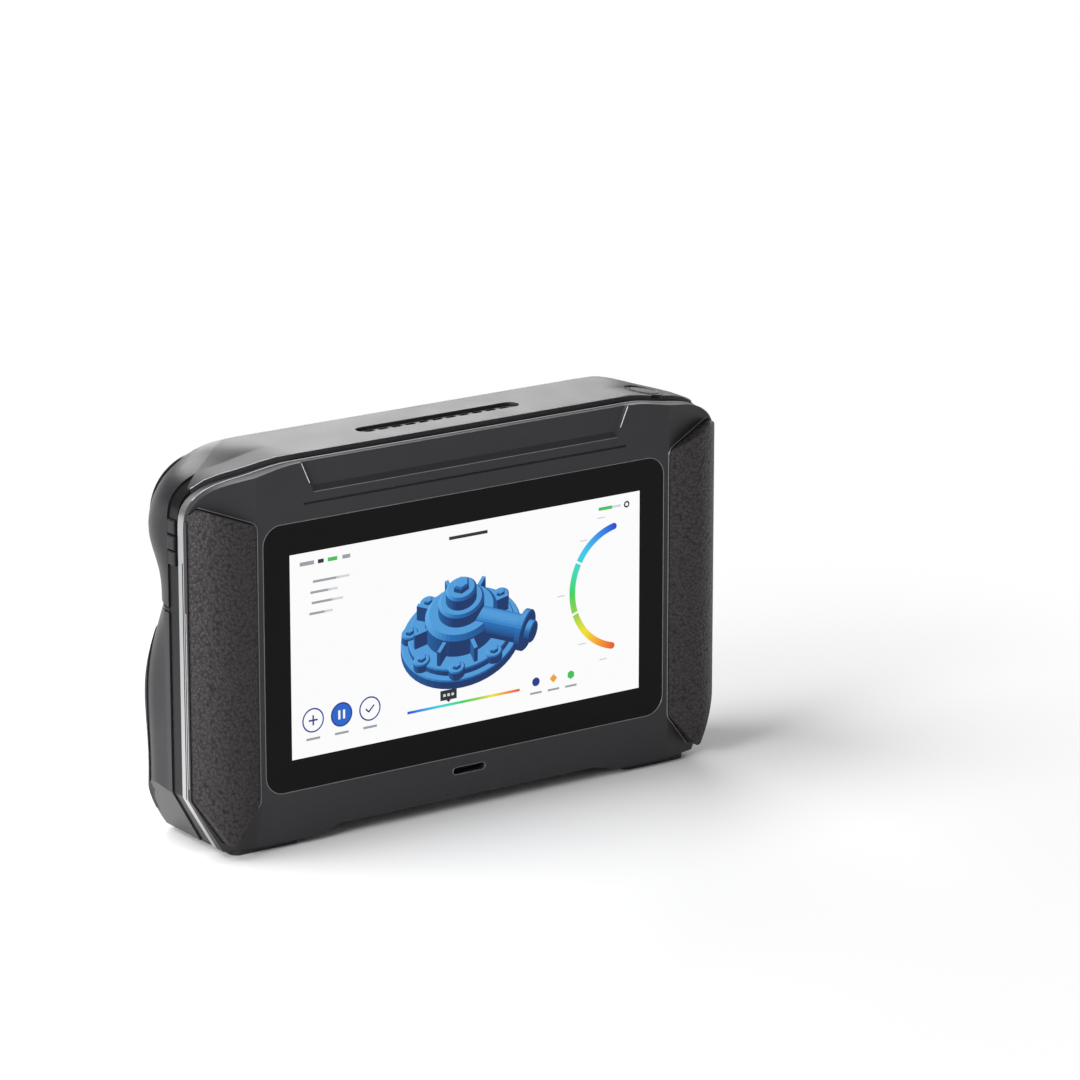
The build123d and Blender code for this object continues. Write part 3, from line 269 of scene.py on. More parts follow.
cover_glass = gloss_black("printed_cover_glass", "#0b090a", 0.16, 30.0, 0.1)
pod_gloss = gloss_black("gloss_polycarbonate_pod", "#050506", 0.12, 20.0, 0.25)
window_gloss = gloss_black("tinted_acrylic_window", "#020203", 0.12, 20.0, 0.05)
dark_glass = gloss_black("dark_filter_glass", "#020203", 0.12, 20.0, 0.08)
fan_plastic = gloss_black("glass_filled_nylon_fan", "#141416", 0.42, 3.0, 0.3)
battery_wrap = gloss_black("heat_shrink_battery_wrap", "#24262c", 0.45, 6.0)
print("gloss finishes made")

# %% [markdown]
# ## Pod and window places
# The two camera pods are turned inwards by ten degrees. A matrix takes a place in a pod's own frame,
# with its front face at height zero, to the scanner's frame. The centre window has a frame of the
# same kind, so that the same small shapes serve both.


# %% Frames of the pods and of the window
def facing_matrix(origin, turn):
    normal = Vector((-sin(turn), cos(turn), 0))
    across = Vector((-cos(turn), -sin(turn), 0))
    return Matrix.Translation(origin) @ Matrix((across, normal.cross(across), normal)).transposed().to_4x4()


def node_middle(name):
    low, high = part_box(name)
    return (low + high) / 2


def pod_matrix(word):
    side = 1 if word == "right" else -1
    turn = side * radians(TOE_IN)
    normal = Vector((-sin(turn), cos(turn), 0))
    return facing_matrix(node_middle("pod_cover_" + word) + normal * HALF_COVER * MM, turn)


TOE_IN, HALF_COVER = 10.0, 0.6
window_low, window_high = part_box("centre_window")
WINDOW = facing_matrix(Vector((0, window_high.y, (window_low.z + window_high.z) / 2)), 0.0)
PODS = {word: pod_matrix(word) for word in ("left", "right")}
print("pod fronts in mm:", [[round(v / MM, 1) for v in PODS[word].translation] for word in PODS])

# %% [markdown]
# ## Lens barrel and coated lens
# The barrel is black anodised aluminium with turned rings that keep stray light out. Seen from the
# front, the dark coated lens shows rings of light: reflections of the iris, the glass edges behind it and
# the coating's tint. These rings are painted reflections, laid out by the distance from the lens's own axis.


# %% Finish for barrels and lenses
def turned_barrel(name, colour, pitch_mm):
    finish, tree, shader = new_finish(name, Base_Color=linear(colour), Specular_IOR_Level=0.6)
    place = add(tree, "ShaderNodeTexCoord")
    ring = noise(tree, place, 1 / (pitch_mm * MM), 2.0)
    roughen(tree, shader, ring, "Fac", 0.28, 0.42)
    emboss(tree, shader, ring, "Fac", 0.3, 0.02)
    return finish


def lens_with_painted_rings(name, frame_matrix, x_mm, z_mm, reach_mm, stops, coat=1.0):
    finish, tree, shader = new_finish(name, Roughness=0.05, Coat_Weight=coat, Coat_Roughness=0.02)
    place = add(tree, "ShaderNodeTexCoord")
    centre = frame_matrix @ Vector((x_mm * MM, z_mm * MM, 0))
    axis = frame_matrix.to_3x3() @ Vector((0, 0, 1))
    kind = "ShaderNodeVectorMath"
    away = add(tree, kind, {"operation": "SUBTRACT"}, i0=(place, "Object"), i1=tuple(centre))
    aside = add(tree, kind, {"operation": "CROSS_PRODUCT"}, i0=(away, "Vector"), i1=tuple(axis))
    radius = add(tree, kind, {"operation": "LENGTH"}, i0=(aside, "Vector"))
    share = add(tree, "ShaderNodeMapRange", Value=(radius, "Value"), From_Max=reach_mm * MM)
    rings = add(tree, "ShaderNodeValToRGB", Fac=(share, "Result"))
    ramp = rings.color_ramp
    ramp.elements[0].position, ramp.elements[0].color = stops[0][0], linear(stops[0][1])
    ramp.elements[1].position, ramp.elements[1].color = stops[-1][0], linear(stops[-1][1])
    for position, colour in stops[1:-1]:
        ramp.elements.new(position).color = linear(colour)
    join(tree, rings, "Color", shader, "Base Color")
    return finish


barrel_black = turned_barrel("black_anodised_barrel", "#1a1a1c", 0.5)
barrel_grey = turned_barrel("grey_anodised_ring", "#48494c", 0.5)
# Ring colours of the lenses: painted reflections on a dark lens.
main_reflection_stops = [(0.0, "#050304"), (0.22, "#090506"), (0.25, "#34282c"), (0.30, "#12080a"), (0.52, "#34141d"),
              (0.56, "#74505c"), (0.60, "#180a0f"), (0.80, "#2c1018"), (0.86, "#0e0609"), (1.0, "#070405")]
small_reflection_stops = [(0.0, "#c8c8c8"), (0.22, "#9a9a9c"), (0.30, "#1c1c1e"), (0.48, "#6e6e72"),
               (0.60, "#2a2a2c"), (0.8, "#77777a"), (1.0, "#161617")]
LENS_X, EYE_X, RANGE_X = -8.7, 17.6, -29.6
MAIN_REACH, SMALL_REACH = 6.75, 1.9
main_lens, small_lens = {}, {}
for word, pod in PODS.items():
    main_lens[word] = lens_with_painted_rings("lens_painted_reflection_" + word, pod, LENS_X, 0, MAIN_REACH, main_reflection_stops, 0.2)
    small_lens[word] = lens_with_painted_rings("small_lens_" + word, pod, EYE_X, 0, SMALL_REACH, small_reflection_stops, 0.4)
range_lens = lens_with_painted_rings("range_lens_painted_reflection", WINDOW, RANGE_X, 0, SMALL_REACH, small_reflection_stops, 0.4)
smoked_dome = gloss_black("smoked_epoxy_dome", "#0a090c", 0.06, 5.0, 0.7, 0.4)
print("lens finishes made")

# %% [markdown]
# ## Circuit boards, lamps and the rest
# The lamps are white ceramic packages with a yellow phosphor square. The boards behind them are
# glass epoxy with a green solder mask, hidden in use but seen when a model is taken apart.


# %% Finish for boards and lamps
def speckled(name, base, spot, roughness, cell_mm, share):
    finish, tree, shader = new_finish(name, Roughness=roughness)
    place = add(tree, "ShaderNodeTexCoord")
    spots = noise(tree, place, 1 / (cell_mm * MM), 1.0)
    mask = add(tree, "ShaderNodeMapRange", Value=(spots, "Fac"), From_Min=share, From_Max=share + 0.04)
    colour_by(tree, shader, mask, "Result", base, spot)
    return finish


board_green = speckled("solder_mask_board", "#16452a", "#2c6b40", 0.35, 1.5, 0.55)
lamp_ceramic = speckled("lamp_white_ceramic", "#b9b6ad", "#cfccc3", 0.4, 0.3, 0.5)
lamp_phosphor = speckled("lamp_yellow_phosphor", "#8f7426", "#b3953c", 0.55, 0.2, 0.5)
# Pink for the lasers' strips: painted reflection.
laser_pink_reflection = speckled("laser_painted_pink_reflection", "#a8707a", "#9c606c", 0.2, 0.4, 0.5)
bright_die = speckled("flash_die_white", "#c9c9cc", "#b5b5b8", 0.3, 0.2, 0.5)
module_black = speckled("moulded_epoxy_module", "#08080a", "#0c0c0e", 0.25, 3.0, 0.5)
print("board and lamp finishes made")

# %% [markdown]
# ## Dressing the CAD nodes
# Each node gets the finish of the real part that it stands for. A table of name beginnings keeps
# this short, and the print shows any node that was left out.

# %% Finishes for all nodes
finish_for = {
    "front_cover": charcoal_abs, "front_grip": grip_rubber, "rear_grip": rear_rubber_shaded,
    "foot": sole_rubber, "display_glass": cover_glass, "display_panel": fan_plastic,
    "trim_ring": trim_silver, "middle_frame": frame_abs, "top_cover": roof_abs,
    "top_vent": frame_abs, "power_collar": frame_abs, "power_button": roof_abs,
    "power_switch": steel, "side_key": key_abs, "key_board": board_green,
    "trigger_button": key_abs, "trigger_board": board_green, "head_housing": bar_abs,
    "centre_window": window_gloss, "window_rim": rim_metal_and_highlight, "laser": module_black,
    "flash": module_black, "range": module_black, "sensor_board": board_green,
    "optical_frame": cast_alloy, "back_cover": back_abs_shaded, "vent_grille": back_abs_shaded,
    "fan": fan_plastic, "heat_sink": cast_alloy, "main_board": board_green,
    "board_screws": steel, "charging_port": steel, "battery_pack": battery_wrap,
    "speaker": fan_plastic, "pod_housing": pod_gloss, "pod_cover": window_gloss,
    "led_board": board_green, "led_chips": lamp_ceramic, "emitters": module_black,
    "camera_barrel": barrel_black, "camera_lens_left": main_lens["left"],
    "camera_lens_right": main_lens["right"], "camera_module": steel, "colour_camera": barrel_black,
}
undressed = []
for name, node in nodes.items():
    finishes = [finish for start, finish in finish_for.items() if name.startswith(start)]
    if not finishes:
        undressed.append(name)
        continue
    for slot in node.material_slots:
        slot.material = finishes[0]
print("nodes dressed:", len(nodes) - len(undressed), "left out:", undressed)

# %% [markdown]
# ## The picture on the screen
# A lit screen shows flat shapes in front of its glass. Each shape is a thin sheet, cut with bmesh,
# with its own light. Sheets are stacked a few hundredths of a millimetre apart, so that none hides
# in another. The screen shows a plain scan view: a machined part in blue, a colour ring, a scale
# and round buttons with simple signs.


# %% Glowing finishes for the picture
def screen_base(name):
    base = {"Base_Color": linear("#060606"), "Roughness": 0.16, "Specular_IOR_Level": 0.2}
    return new_finish(name, Emission_Strength=1.0, **base)


def lit(name, colour):
    finish, tree, shader = screen_base(name)
    place = add(tree, "ShaderNodeTexCoord")
    cells = add(tree, "ShaderNodeTexWhiteNoise", {"noise_dimensions": "3D"}, Vector=(place, "Object"))
    tone = add(tree, "ShaderNodeMapRange", Value=(cells, "Value"), To_Min=0.97, To_Max=1.0)
    product = {"data_type": "RGBA", "blend_type": "MULTIPLY"}
    glow = add(tree, "ShaderNodeMix", product, i0=1.0, i6=linear(colour), i7=(tone, "Result"))
    join(tree, glow, 2, shader, "Emission Color")
    return finish


def lit_by_shade(name):
    finish, tree, shader = screen_base(name)
    shaded = add(tree, "ShaderNodeAttribute", {"attribute_name": "shade"})
    join(tree, shaded, "Color", shader, "Emission Color")
    return finish


lit_white = lit("screen_light_white", "#fbfbfc")
lit_grey = lit("screen_light_grey", "#9a9da3")
lit_pale = lit("screen_light_pale", "#d3d5d9")
lit_dark = lit("screen_light_ink", "#26282c")
lit_navy = lit("screen_light_navy", "#17358c")
lit_blue = lit("screen_light_blue", "#1f62c8")
lit_green = lit("screen_light_green", "#3fbf55")
lit_orange = lit("screen_light_orange", "#f0a02a")
lit_shaded = lit_by_shade("screen_light_shaded")
print("screen colours made")

# %% [markdown]
# ### From bmesh to object
# Every shape here is cut with bmesh. One function turns it into an object with a finish, and one
# pours a small shape into a larger one.


# %% Helpers for meshes
def object_from(shape, name, finish):
    mesh = bpy.data.meshes.new(name)
    shape.to_mesh(mesh)
    shape.free()
    made = bpy.data.objects.new(name, mesh)
    bpy.context.scene.collection.objects.link(made)
    mesh.materials.append(finish)
    return made


def pour(part, piece):
    mesh = bpy.data.meshes.new("small_part")
    part.to_mesh(mesh)
    part.free()
    piece.from_mesh(mesh)
    bpy.data.meshes.remove(mesh)


ROUND = {"cent": (0, 0, 0), "axis": (0, 0, 1)}
print("mesh helpers ready")

# %% [markdown]
# ### Flat shapes
# A sheet is a bmesh circle, a rectangle or a part of a ring, moved onto the glass. The number that
# each sheet gets, its layer, says how far in front of the glass it lies.

# %% Sheets on the glass
LAYER = 0.02 * MM
sheets = []


def finish_sheet(shape, name, x, z, layer, finish, turn=0.0):
    bmesh.ops.rotate(shape, verts=shape.verts, cent=(0, 0, 0), matrix=Matrix.Rotation(radians(90), 3, "X"))
    bmesh.ops.rotate(shape, verts=shape.verts, cent=(0, 0, 0), matrix=Matrix.Rotation(radians(turn), 3, "Y"))
    bmesh.ops.translate(shape, verts=shape.verts, vec=SCREEN + Vector((x * MM, -layer * LAYER, z * MM)))
    for face in shape.faces:
        face.normal_update()
        if face.normal.y > 0:
            face.normal_flip()
    sheets.append(object_from(shape, name, finish))


def disc(name, x, z, radius, layer, finish, corners=40):
    shape = bmesh.new()
    bmesh.ops.create_circle(shape, cap_ends=True, segments=corners, radius=radius * MM)
    finish_sheet(shape, name, x, z, layer, finish)


def panel(name, x, z, width, height, layer, finish, turn=0.0):
    shape = bmesh.new()
    bmesh.ops.create_grid(shape, x_segments=1, y_segments=1, size=0.5)
    bmesh.ops.scale(shape, verts=shape.verts, vec=(width * MM, height * MM, 1))
    finish_sheet(shape, name, x, z, layer, finish, turn)


def tick(name, x, z, size, layer, finish):
    panel(name + "_short", x - 0.42 * size, z - 0.12 * size, 0.7 * size, 0.22 * size, layer, finish, 45)
    panel(name + "_long", x + 0.22 * size, z + 0.08 * size, 1.25 * size, 0.22 * size, layer + 1, finish, -45)


SCALE = ["#1d3fd0", "#2f8fe6", "#38c6e8", "#3ad9b0", "#3fcf5a", "#8ed043", "#efe02a", "#f29a24", "#e2432c"]


def scale_colour(share):
    step = min(max(share, 0.0), 0.9999) * (len(SCALE) - 1)
    low = Vector(linear(SCALE[int(step)])[:3])
    return (*low.lerp(Vector(linear(SCALE[int(step) + 1])[:3]), step - int(step)), 1.0)


def paint_by(shape, share_of):
    shade = shape.loops.layers.float_color.new("shade")
    for face in shape.faces:
        for loop in face.loops:
            loop[shade] = scale_colour(share_of(loop.vert.co))


def on_circle(radius, angle):
    return Vector((radius * MM * cos(radians(angle)), radius * MM * sin(radians(angle)), 0))


def arc_band(name, x, z, middle, width, start, end, layer, share_of):
    shape = bmesh.new()
    verts = [shape.verts.new(on_circle(middle + side * width / 2, start)) for side in (-1, 1)]
    geom = verts + [shape.edges.new(verts)]
    steps = max(4, int(abs(end - start) / 3))
    bmesh.ops.spin(shape, geom=geom, angle=radians(end - start), steps=steps, **ROUND)
    paint_by(shape, share_of)
    finish_sheet(shape, name, x, z, layer, lit_shaded)


def arc_end(name, x, z, middle, width, angle, layer, share_of):
    shape = bmesh.new()
    bmesh.ops.create_circle(shape, cap_ends=True, segments=24, radius=width / 2 * MM)
    bmesh.ops.translate(shape, verts=shape.verts, vec=on_circle(middle, angle))
    paint_by(shape, share_of)
    finish_sheet(shape, name, x, z, layer, lit_shaded)


FIELD_WIDTH, FIELD_HEIGHT = 136.1, 68.05
panel("screen_field", 0, 0, FIELD_WIDTH, FIELD_HEIGHT, 1, lit_white)
print("screen field in mm:", FIELD_WIDTH, FIELD_HEIGHT)

# %% [markdown]
# ### Ring, scale and buttons
# The colour ring at the right and the level scale below the part run from blue to red, as a distance
# scale does. Three round buttons in a row carry a plus, two bars and a tick, which need no words.

# %% Colour ring
RING = (62.0, 3.0, 21.0, 2.3)
RING_PARTS = ((102, 150), (152, 198), (200, 256))
RING_MARKS = ((52.5, 27.2), (45.5, 20.5), (36.5, 3.0), (45.0, -14.8), (53.5, -21.5))


def ring_share(place):
    return (atan2(place.y, -place.x) / radians(80) + 1) / 2 * -1 + 1


for number, (start, end) in enumerate(RING_PARTS):
    arc_band("ring_part_%d" % number, *RING, start, end, 2 + number, ring_share)
for number, angle in enumerate((RING_PARTS[0][0], RING_PARTS[-1][1])):
    arc_end("ring_end_%d" % number, *RING, angle, 5 + number, ring_share)
for number, (x, z) in enumerate(RING_MARKS):
    panel("ring_mark_%d" % number, x, z, 3.0, 0.45, 2, lit_pale)
print("ring's middle, radius and width in mm:", RING)

# %% Level scale under the part
SCALE_LENGTH, MARKER_X, MARKER_Z = 44, -8.0, -22.8
shape = bmesh.new()
bmesh.ops.create_grid(shape, x_segments=32, y_segments=1, size=0.5)
bmesh.ops.scale(shape, verts=shape.verts, vec=(SCALE_LENGTH * MM, 0.9 * MM, 1))
paint_by(shape, lambda place: place.x / (SCALE_LENGTH * MM) + 0.5)
finish_sheet(shape, "level_scale", -2.0, -26.2, 2, lit_shaded)
panel("scale_marker", MARKER_X, MARKER_Z, 6.4, 3.4, 2, lit_dark)
panel("scale_marker_foot", MARKER_X, -24.6, 1.1, 1.1, 3, lit_dark, 45)
for number in range(3):
    panel("marker_line_%d" % number, -9.6 + number * 1.6, MARKER_Z, 1.0, 0.9, 4, lit_pale)
print("level scale's length in mm:", SCALE_LENGTH)

# %% Round buttons in a row
BUTTON_X, BUTTON_Z = (-60.0, -49.2, -38.4), -22.0
for number, x in enumerate(BUTTON_X):
    disc("button_edge_%d" % number, x, BUTTON_Z, 4.1, 2, lit_navy)
    disc("button_face_%d" % number, x, BUTTON_Z, 3.6, 3, lit_blue if number == 1 else lit_white)
    panel("button_line_%d" % number, x, -28.2, 5.2, 0.8, 2, lit_grey)
panel("plus_across", BUTTON_X[0], BUTTON_Z, 3.4, 0.6, 4, lit_navy)
panel("plus_up", BUTTON_X[0], BUTTON_Z, 0.6, 3.4, 5, lit_navy)
for word, x in (("left", -50.1), ("right", -48.3)):
    panel("bar_" + word, x, BUTTON_Z, 0.8, 3.0, 4, lit_white)
tick("tick", BUTTON_X[2], -22.2, 2.4, 4, lit_navy)
print("round buttons:", len(BUTTON_X))

# %% Status marks and small tools
STATUS_MARKS = ((-61.6, 5.4, lit_grey), (-56.4, 2.2, lit_dark),
                (-52.0, 3.6, lit_green), (-46.8, 3.0, lit_grey))
for number, (x, width, finish) in enumerate(STATUS_MARKS):
    panel("status_%d" % number, x, 30.4, width, 1.3, 2, finish)
NOTE_LEFT, NOTE_TOP, NOTE_PITCH = -63.5, 24.0, 3.5
for row, width in enumerate((18.0, 13.5, 15.5, 11.5)):
    z = NOTE_TOP - row * NOTE_PITCH
    panel("note_%d" % row, NOTE_LEFT + width / 2, z, width * 0.55, 0.8, 2, lit_grey)
    panel("note_value_%d" % row, NOTE_LEFT + width * 0.85, z, width * 0.28, 0.8, 2, lit_pale)
panel("title_bar", 0, 29.8, 15.0, 1.1, 2, lit_dark)
panel("charge_back", 56.0, 30.2, 9.0, 0.8, 2, lit_pale)
panel("charge_fill", 54.2, 30.2, 5.4, 1.1, 3, lit_green)
disc("menu_ring", 62.8, 30.2, 1.2, 2, lit_dark, 8)
disc("menu_hole", 62.8, 30.2, 0.6, 3, lit_white, 16)
for number, (x, finish) in enumerate(((26.5, lit_navy), (33.5, lit_orange), (40.5, lit_green))):
    disc("tool_%d" % number, x, -24.6, 1.5, 2, finish, (24, 4, 6)[number])
    panel("tool_line_%d" % number, x, -28.4, 4.6, 0.7, 2, lit_grey)
print("sheets on the screen:", len(sheets))

# %% [markdown]
# ### The scanned part
# The part in the middle of the screen is a plain pump cover: a flange, a hub, ribs and bolt bosses.
# It is first a real solid, made from cylinders and blocks. The screen shows it as a picture, so it
# is turned to a three-quarter view, shaded once from its own face directions, and pressed almost
# flat. A colour attribute keeps the shading.


# %% Solid for the picture
def pump_cover():
    shape = bmesh.new()

    def chamfered(radius, height, x=0.0, y=0.0, z=0.0, corners=48, edge=0.4, turn=None):
        profile = [(0.0, 0.0), (radius, 0.0), (radius, height - edge), (radius - edge, height), (0.0, height)]
        part = bmesh.new()
        verts = [part.verts.new((r, 0, h)) for r, h in profile]
        edges = [part.edges.new(pair) for pair in zip(verts, verts[1:])]
        bmesh.ops.spin(part, geom=verts + edges, angle=2 * pi, steps=corners, use_merge=True, **ROUND)
        bmesh.ops.remove_doubles(part, verts=part.verts, dist=0.001)
        bmesh.ops.recalc_face_normals(part, faces=part.faces)
        if turn:
            bmesh.ops.rotate(part, verts=part.verts, cent=(0, 0, 0), matrix=turn)
        bmesh.ops.translate(part, verts=part.verts, vec=(x, y, z))
        pour(part, shape)

    def rib(length, width, height, angle, distance, z):
        made = bmesh.ops.create_cube(shape, size=1.0)
        bmesh.ops.scale(shape, verts=made["verts"], vec=(length, width, height))
        bmesh.ops.translate(shape, verts=made["verts"], vec=(distance, 0, z + height / 2))
        turn = Matrix.Rotation(radians(angle), 3, "Z")
        bmesh.ops.rotate(shape, verts=made["verts"], cent=(0, 0, 0), matrix=turn)

    chamfered(21.0, 3.2)
    chamfered(18.6, 2.2, z=3.2)
    chamfered(12.6, 8.0, z=5.0, edge=1.4)
    chamfered(8.0, 5.0, z=12.5, edge=0.8)
    chamfered(5.4, 5.0, z=17.0, edge=0.8)
    chamfered(3.0, 2.6, z=21.6, edge=0.6, corners=6)
    for step in range(8):
        angle = radians(45 * step + 22.5)
        x, y = BOLT_RADIUS * cos(angle), BOLT_RADIUS * sin(angle)
        chamfered(2.9, 3.6, x, y, 2.6, corners=24)
        chamfered(1.6, 1.2, x, y, 6.1, corners=6, edge=0.3)
        rib(7.4, 1.3, 7.0, 45 * step, 13.4, 4.0)
    sideways = Matrix.Rotation(radians(90), 3, "Y")
    for radius, length, x in ((4.4, 26.0, 0), (6.4, 2.4, 24.0), (3.4, 3.2, 25.6)):
        chamfered(radius, length, x, 0, 10.2, corners=32, turn=sideways)
    return shape


BOLT_RADIUS = 17.9
picture = pump_cover()
print("faces in the scanned part:", len(picture.faces))

# %% Shading and pressing it flat
turn_view = Matrix.Rotation(radians(42), 3, "X") @ Matrix.Rotation(radians(-28), 3, "Z")
bmesh.ops.rotate(picture, verts=picture.verts, cent=(0, 0, 9), matrix=turn_view)
picture.normal_update()
light_from = Vector((-0.50, -0.45, 0.74)).normalized()
shade = picture.loops.layers.float_color.new("shade")
deep_blue, mid_blue, pale_blue = (Vector(linear(h)[:3]) for h in ("#062f66", "#176bb5", "#63b4ee"))
for face in picture.faces:
    amount = max(0.0, face.normal.dot(light_from))
    lower = deep_blue.lerp(mid_blue, min(1.0, amount * 1.5))
    colour = lower.lerp(pale_blue, max(0.0, amount - 0.62) * 2.4)
    for loop in face.loops:
        loop[shade] = (*colour, 1.0)
deepest = max(v.co.y for v in picture.verts)
nearest = min(v.co.y for v in picture.verts)
size = 1.12 * MM
for v in picture.verts:
    depth = (deepest - v.co.y) / (deepest - nearest)
    v.co = Vector((v.co.x * size, -(0.06 + 0.3 * depth) * MM, (v.co.z - 9.0) * size))
bmesh.ops.translate(picture, verts=picture.verts, vec=SCREEN + Vector((-3.0 * MM, 0, 2.0 * MM)))
sheets.append(object_from(picture, "scanned_part_picture", lit_shaded))
for sheet in sheets:
    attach(sheet, "body")
print("pieces on the screen:", len(sheets))

# %% [markdown]
# ## Small shapes for the optics
# The lens rings, frames and domes are a few kinds of shape: a profile spun round an axis, a frame or
# plate with rounded corners, and a bead that follows a path. Each is made in its own frame and then
# dropped into the piece that it belongs to.


# %% Helpers for small shapes
def drop_in(piece, part, place):
    bmesh.ops.remove_doubles(part, verts=part.verts, dist=0.0005 * MM)
    bmesh.ops.recalc_face_normals(part, faces=part.faces)
    bmesh.ops.transform(part, verts=part.verts, matrix=place)
    pour(part, piece)


def finish_piece(shape, name, finish, body="body", smooth=False):
    for face in shape.faces:
        face.smooth = smooth
    piece = object_from(shape, name, finish)
    if smooth:
        piece.data.set_sharp_from_angle(angle=radians(SHARP_ANGLE))
    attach(piece, body)


SHARP_ANGLE = 35


def spun(piece, profile, place, closed=True, steps=40):
    part = bmesh.new()
    verts = [part.verts.new((r * MM, 0, h * MM)) for r, h in profile]
    pairs = list(zip(verts, verts[1:])) + ([(verts[-1], verts[0])] if closed else [])
    edges = [part.edges.new(pair) for pair in pairs]
    bmesh.ops.spin(part, geom=verts + edges, angle=2 * pi, steps=steps, use_merge=True, **ROUND)
    drop_in(piece, part, place)


def rounded_outline(width, height, corner, steps=6):
    points = []
    for side_x, side_y, start in ((1, 1, 0), (-1, 1, 90), (-1, -1, 180), (1, -1, 270)):
        middle_x, middle_y = side_x * (width / 2 - corner), side_y * (height / 2 - corner)
        for step in range(steps + 1):
            angle = radians(start + 90 * step / steps)
            points.append((middle_x + corner * cos(angle), middle_y + corner * sin(angle)))
    return points


def walls(part, loops, closed):
    rows = [[part.verts.new((x * MM, y * MM, h * MM)) for x, y in outline] for outline, h in loops]
    pairs = list(zip(rows, rows[1:])) + ([(rows[-1], rows[0])] if closed else [])
    for low, high in pairs:
        for index in range(len(low)):
            after = (index + 1) % len(low)
            part.faces.new((low[index], low[after], high[after], high[index]))
    if not closed:
        part.faces.new(rows[0])
        part.faces.new(rows[-1])


def rounded_frame(piece, width, height, corner, wall, low, high, bevel, place):
    def at(inwards):
        return rounded_outline(width - 2 * inwards, height - 2 * inwards, max(corner - inwards, 0.06))

    part = bmesh.new()
    outer = [(at(0), low), (at(0), high - bevel), (at(bevel), high)]
    inner = [(at(wall - bevel), high), (at(wall), high - bevel), (at(wall), low)]
    walls(part, outer + inner, True)
    drop_in(piece, part, place)


def rounded_plate(piece, width, height, corner, low, high, bevel, place):
    part = bmesh.new()
    top = rounded_outline(width - 2 * bevel, height - 2 * bevel, max(corner - bevel, 0.06))
    side = rounded_outline(width, height, corner)
    walls(part, [(side, low), (side, high - bevel), (top, high)], False)
    drop_in(piece, part, place)


def dome(piece, radius, low, rise, place, steps=24):
    curve = [(radius * cos(radians(a)), low + rise * sin(radians(a))) for a in (15, 30, 45, 60, 75)]
    spun(piece, [(radius, low), *curve, (0.0, low + rise)], place, closed=False, steps=steps)


def bead(piece, path, radius, closed, facing, corners=6):
    part = bmesh.new()
    rows = []
    for index, point in enumerate(path):
        before = path[index - 1] if closed or index else point
        after = path[(index + 1) % len(path)] if closed or index < len(path) - 1 else point
        along = (after - before).normalized()
        aside = along.cross(facing).normalized()
        up = aside.cross(along)
        turns = [2 * pi * corner / corners for corner in range(corners)]
        rows.append([part.verts.new(point + (aside * cos(a) + up * sin(a)) * radius * MM) for a in turns])
    pairs = list(zip(rows, rows[1:])) + ([(rows[-1], rows[0])] if closed else [])
    for first, second in pairs:
        for index in range(corners):
            after = (index + 1) % corners
            part.faces.new((first[index], first[after], second[after], second[index]))
    if not closed:
        part.faces.new(rows[0])
        part.faces.new(rows[-1])
    drop_in(piece, part, Matrix.Identity(4))


def shift(x, y, turn=0.0):
    return Matrix.Translation((x * MM, y * MM, 0)) @ Matrix.Rotation(radians(turn), 4, "Z")


print("small shape helpers ready")

# %% [markdown]
# ## Camera pods
# Around each main lens lie a turned ring and stepped baffles that stop stray light. The small camera
# has a grey ring and a sunk lens, and the infrared emitters are smoked domes in thin rings. Each lamp
# is a ceramic square with two phosphor fields, and a thin grey bead around the black face is a painted
# highlight of its edge.

# %% Profiles and places on the pods
lens_profile = [(7.98, 0.0), (7.98, 0.22), (7.75, 0.38), (7.25, 0.38), (6.86, 0.1), (6.76, -0.7), (7.6, -0.7)]
baffle_profile = [(6.74, -0.75), (6.45, -0.85), (6.40, -1.5), (6.15, -1.6), (6.10, -2.3),
                  (5.85, -2.4), (5.80, -3.2), (5.5, -3.35), (5.4, -3.9), (6.74, -3.9)]
eye_profile = [(4.5, 0.0), (4.5, 0.14), (4.3, 0.24), (3.95, 0.24), (3.6, 0.0), (3.6, -0.5), (4.2, -0.5)]
pupil_profile = [(2.9, -1.38), (2.9, -1.0), (2.7, -0.85), (2.3, -0.85), (2.02, -1.1), (2.02, -1.38)]
emitter_profile = [(2.2, -0.2), (2.2, 0.08), (2.05, 0.16), (1.85, 0.16), (1.7, 0.0), (1.7, -0.2)]
EMITTERS = ((15.1, 10.0), (15.1, -10.0))
LAMP_COUNT, LAMP_RADIUS = 6, 13.1
POD_LENGTH, POD_WIDTH, EDGE_INSET = 55.2, 38.0, 1.05
print("points of the lens ring and the baffles:", len(lens_profile), len(baffle_profile))

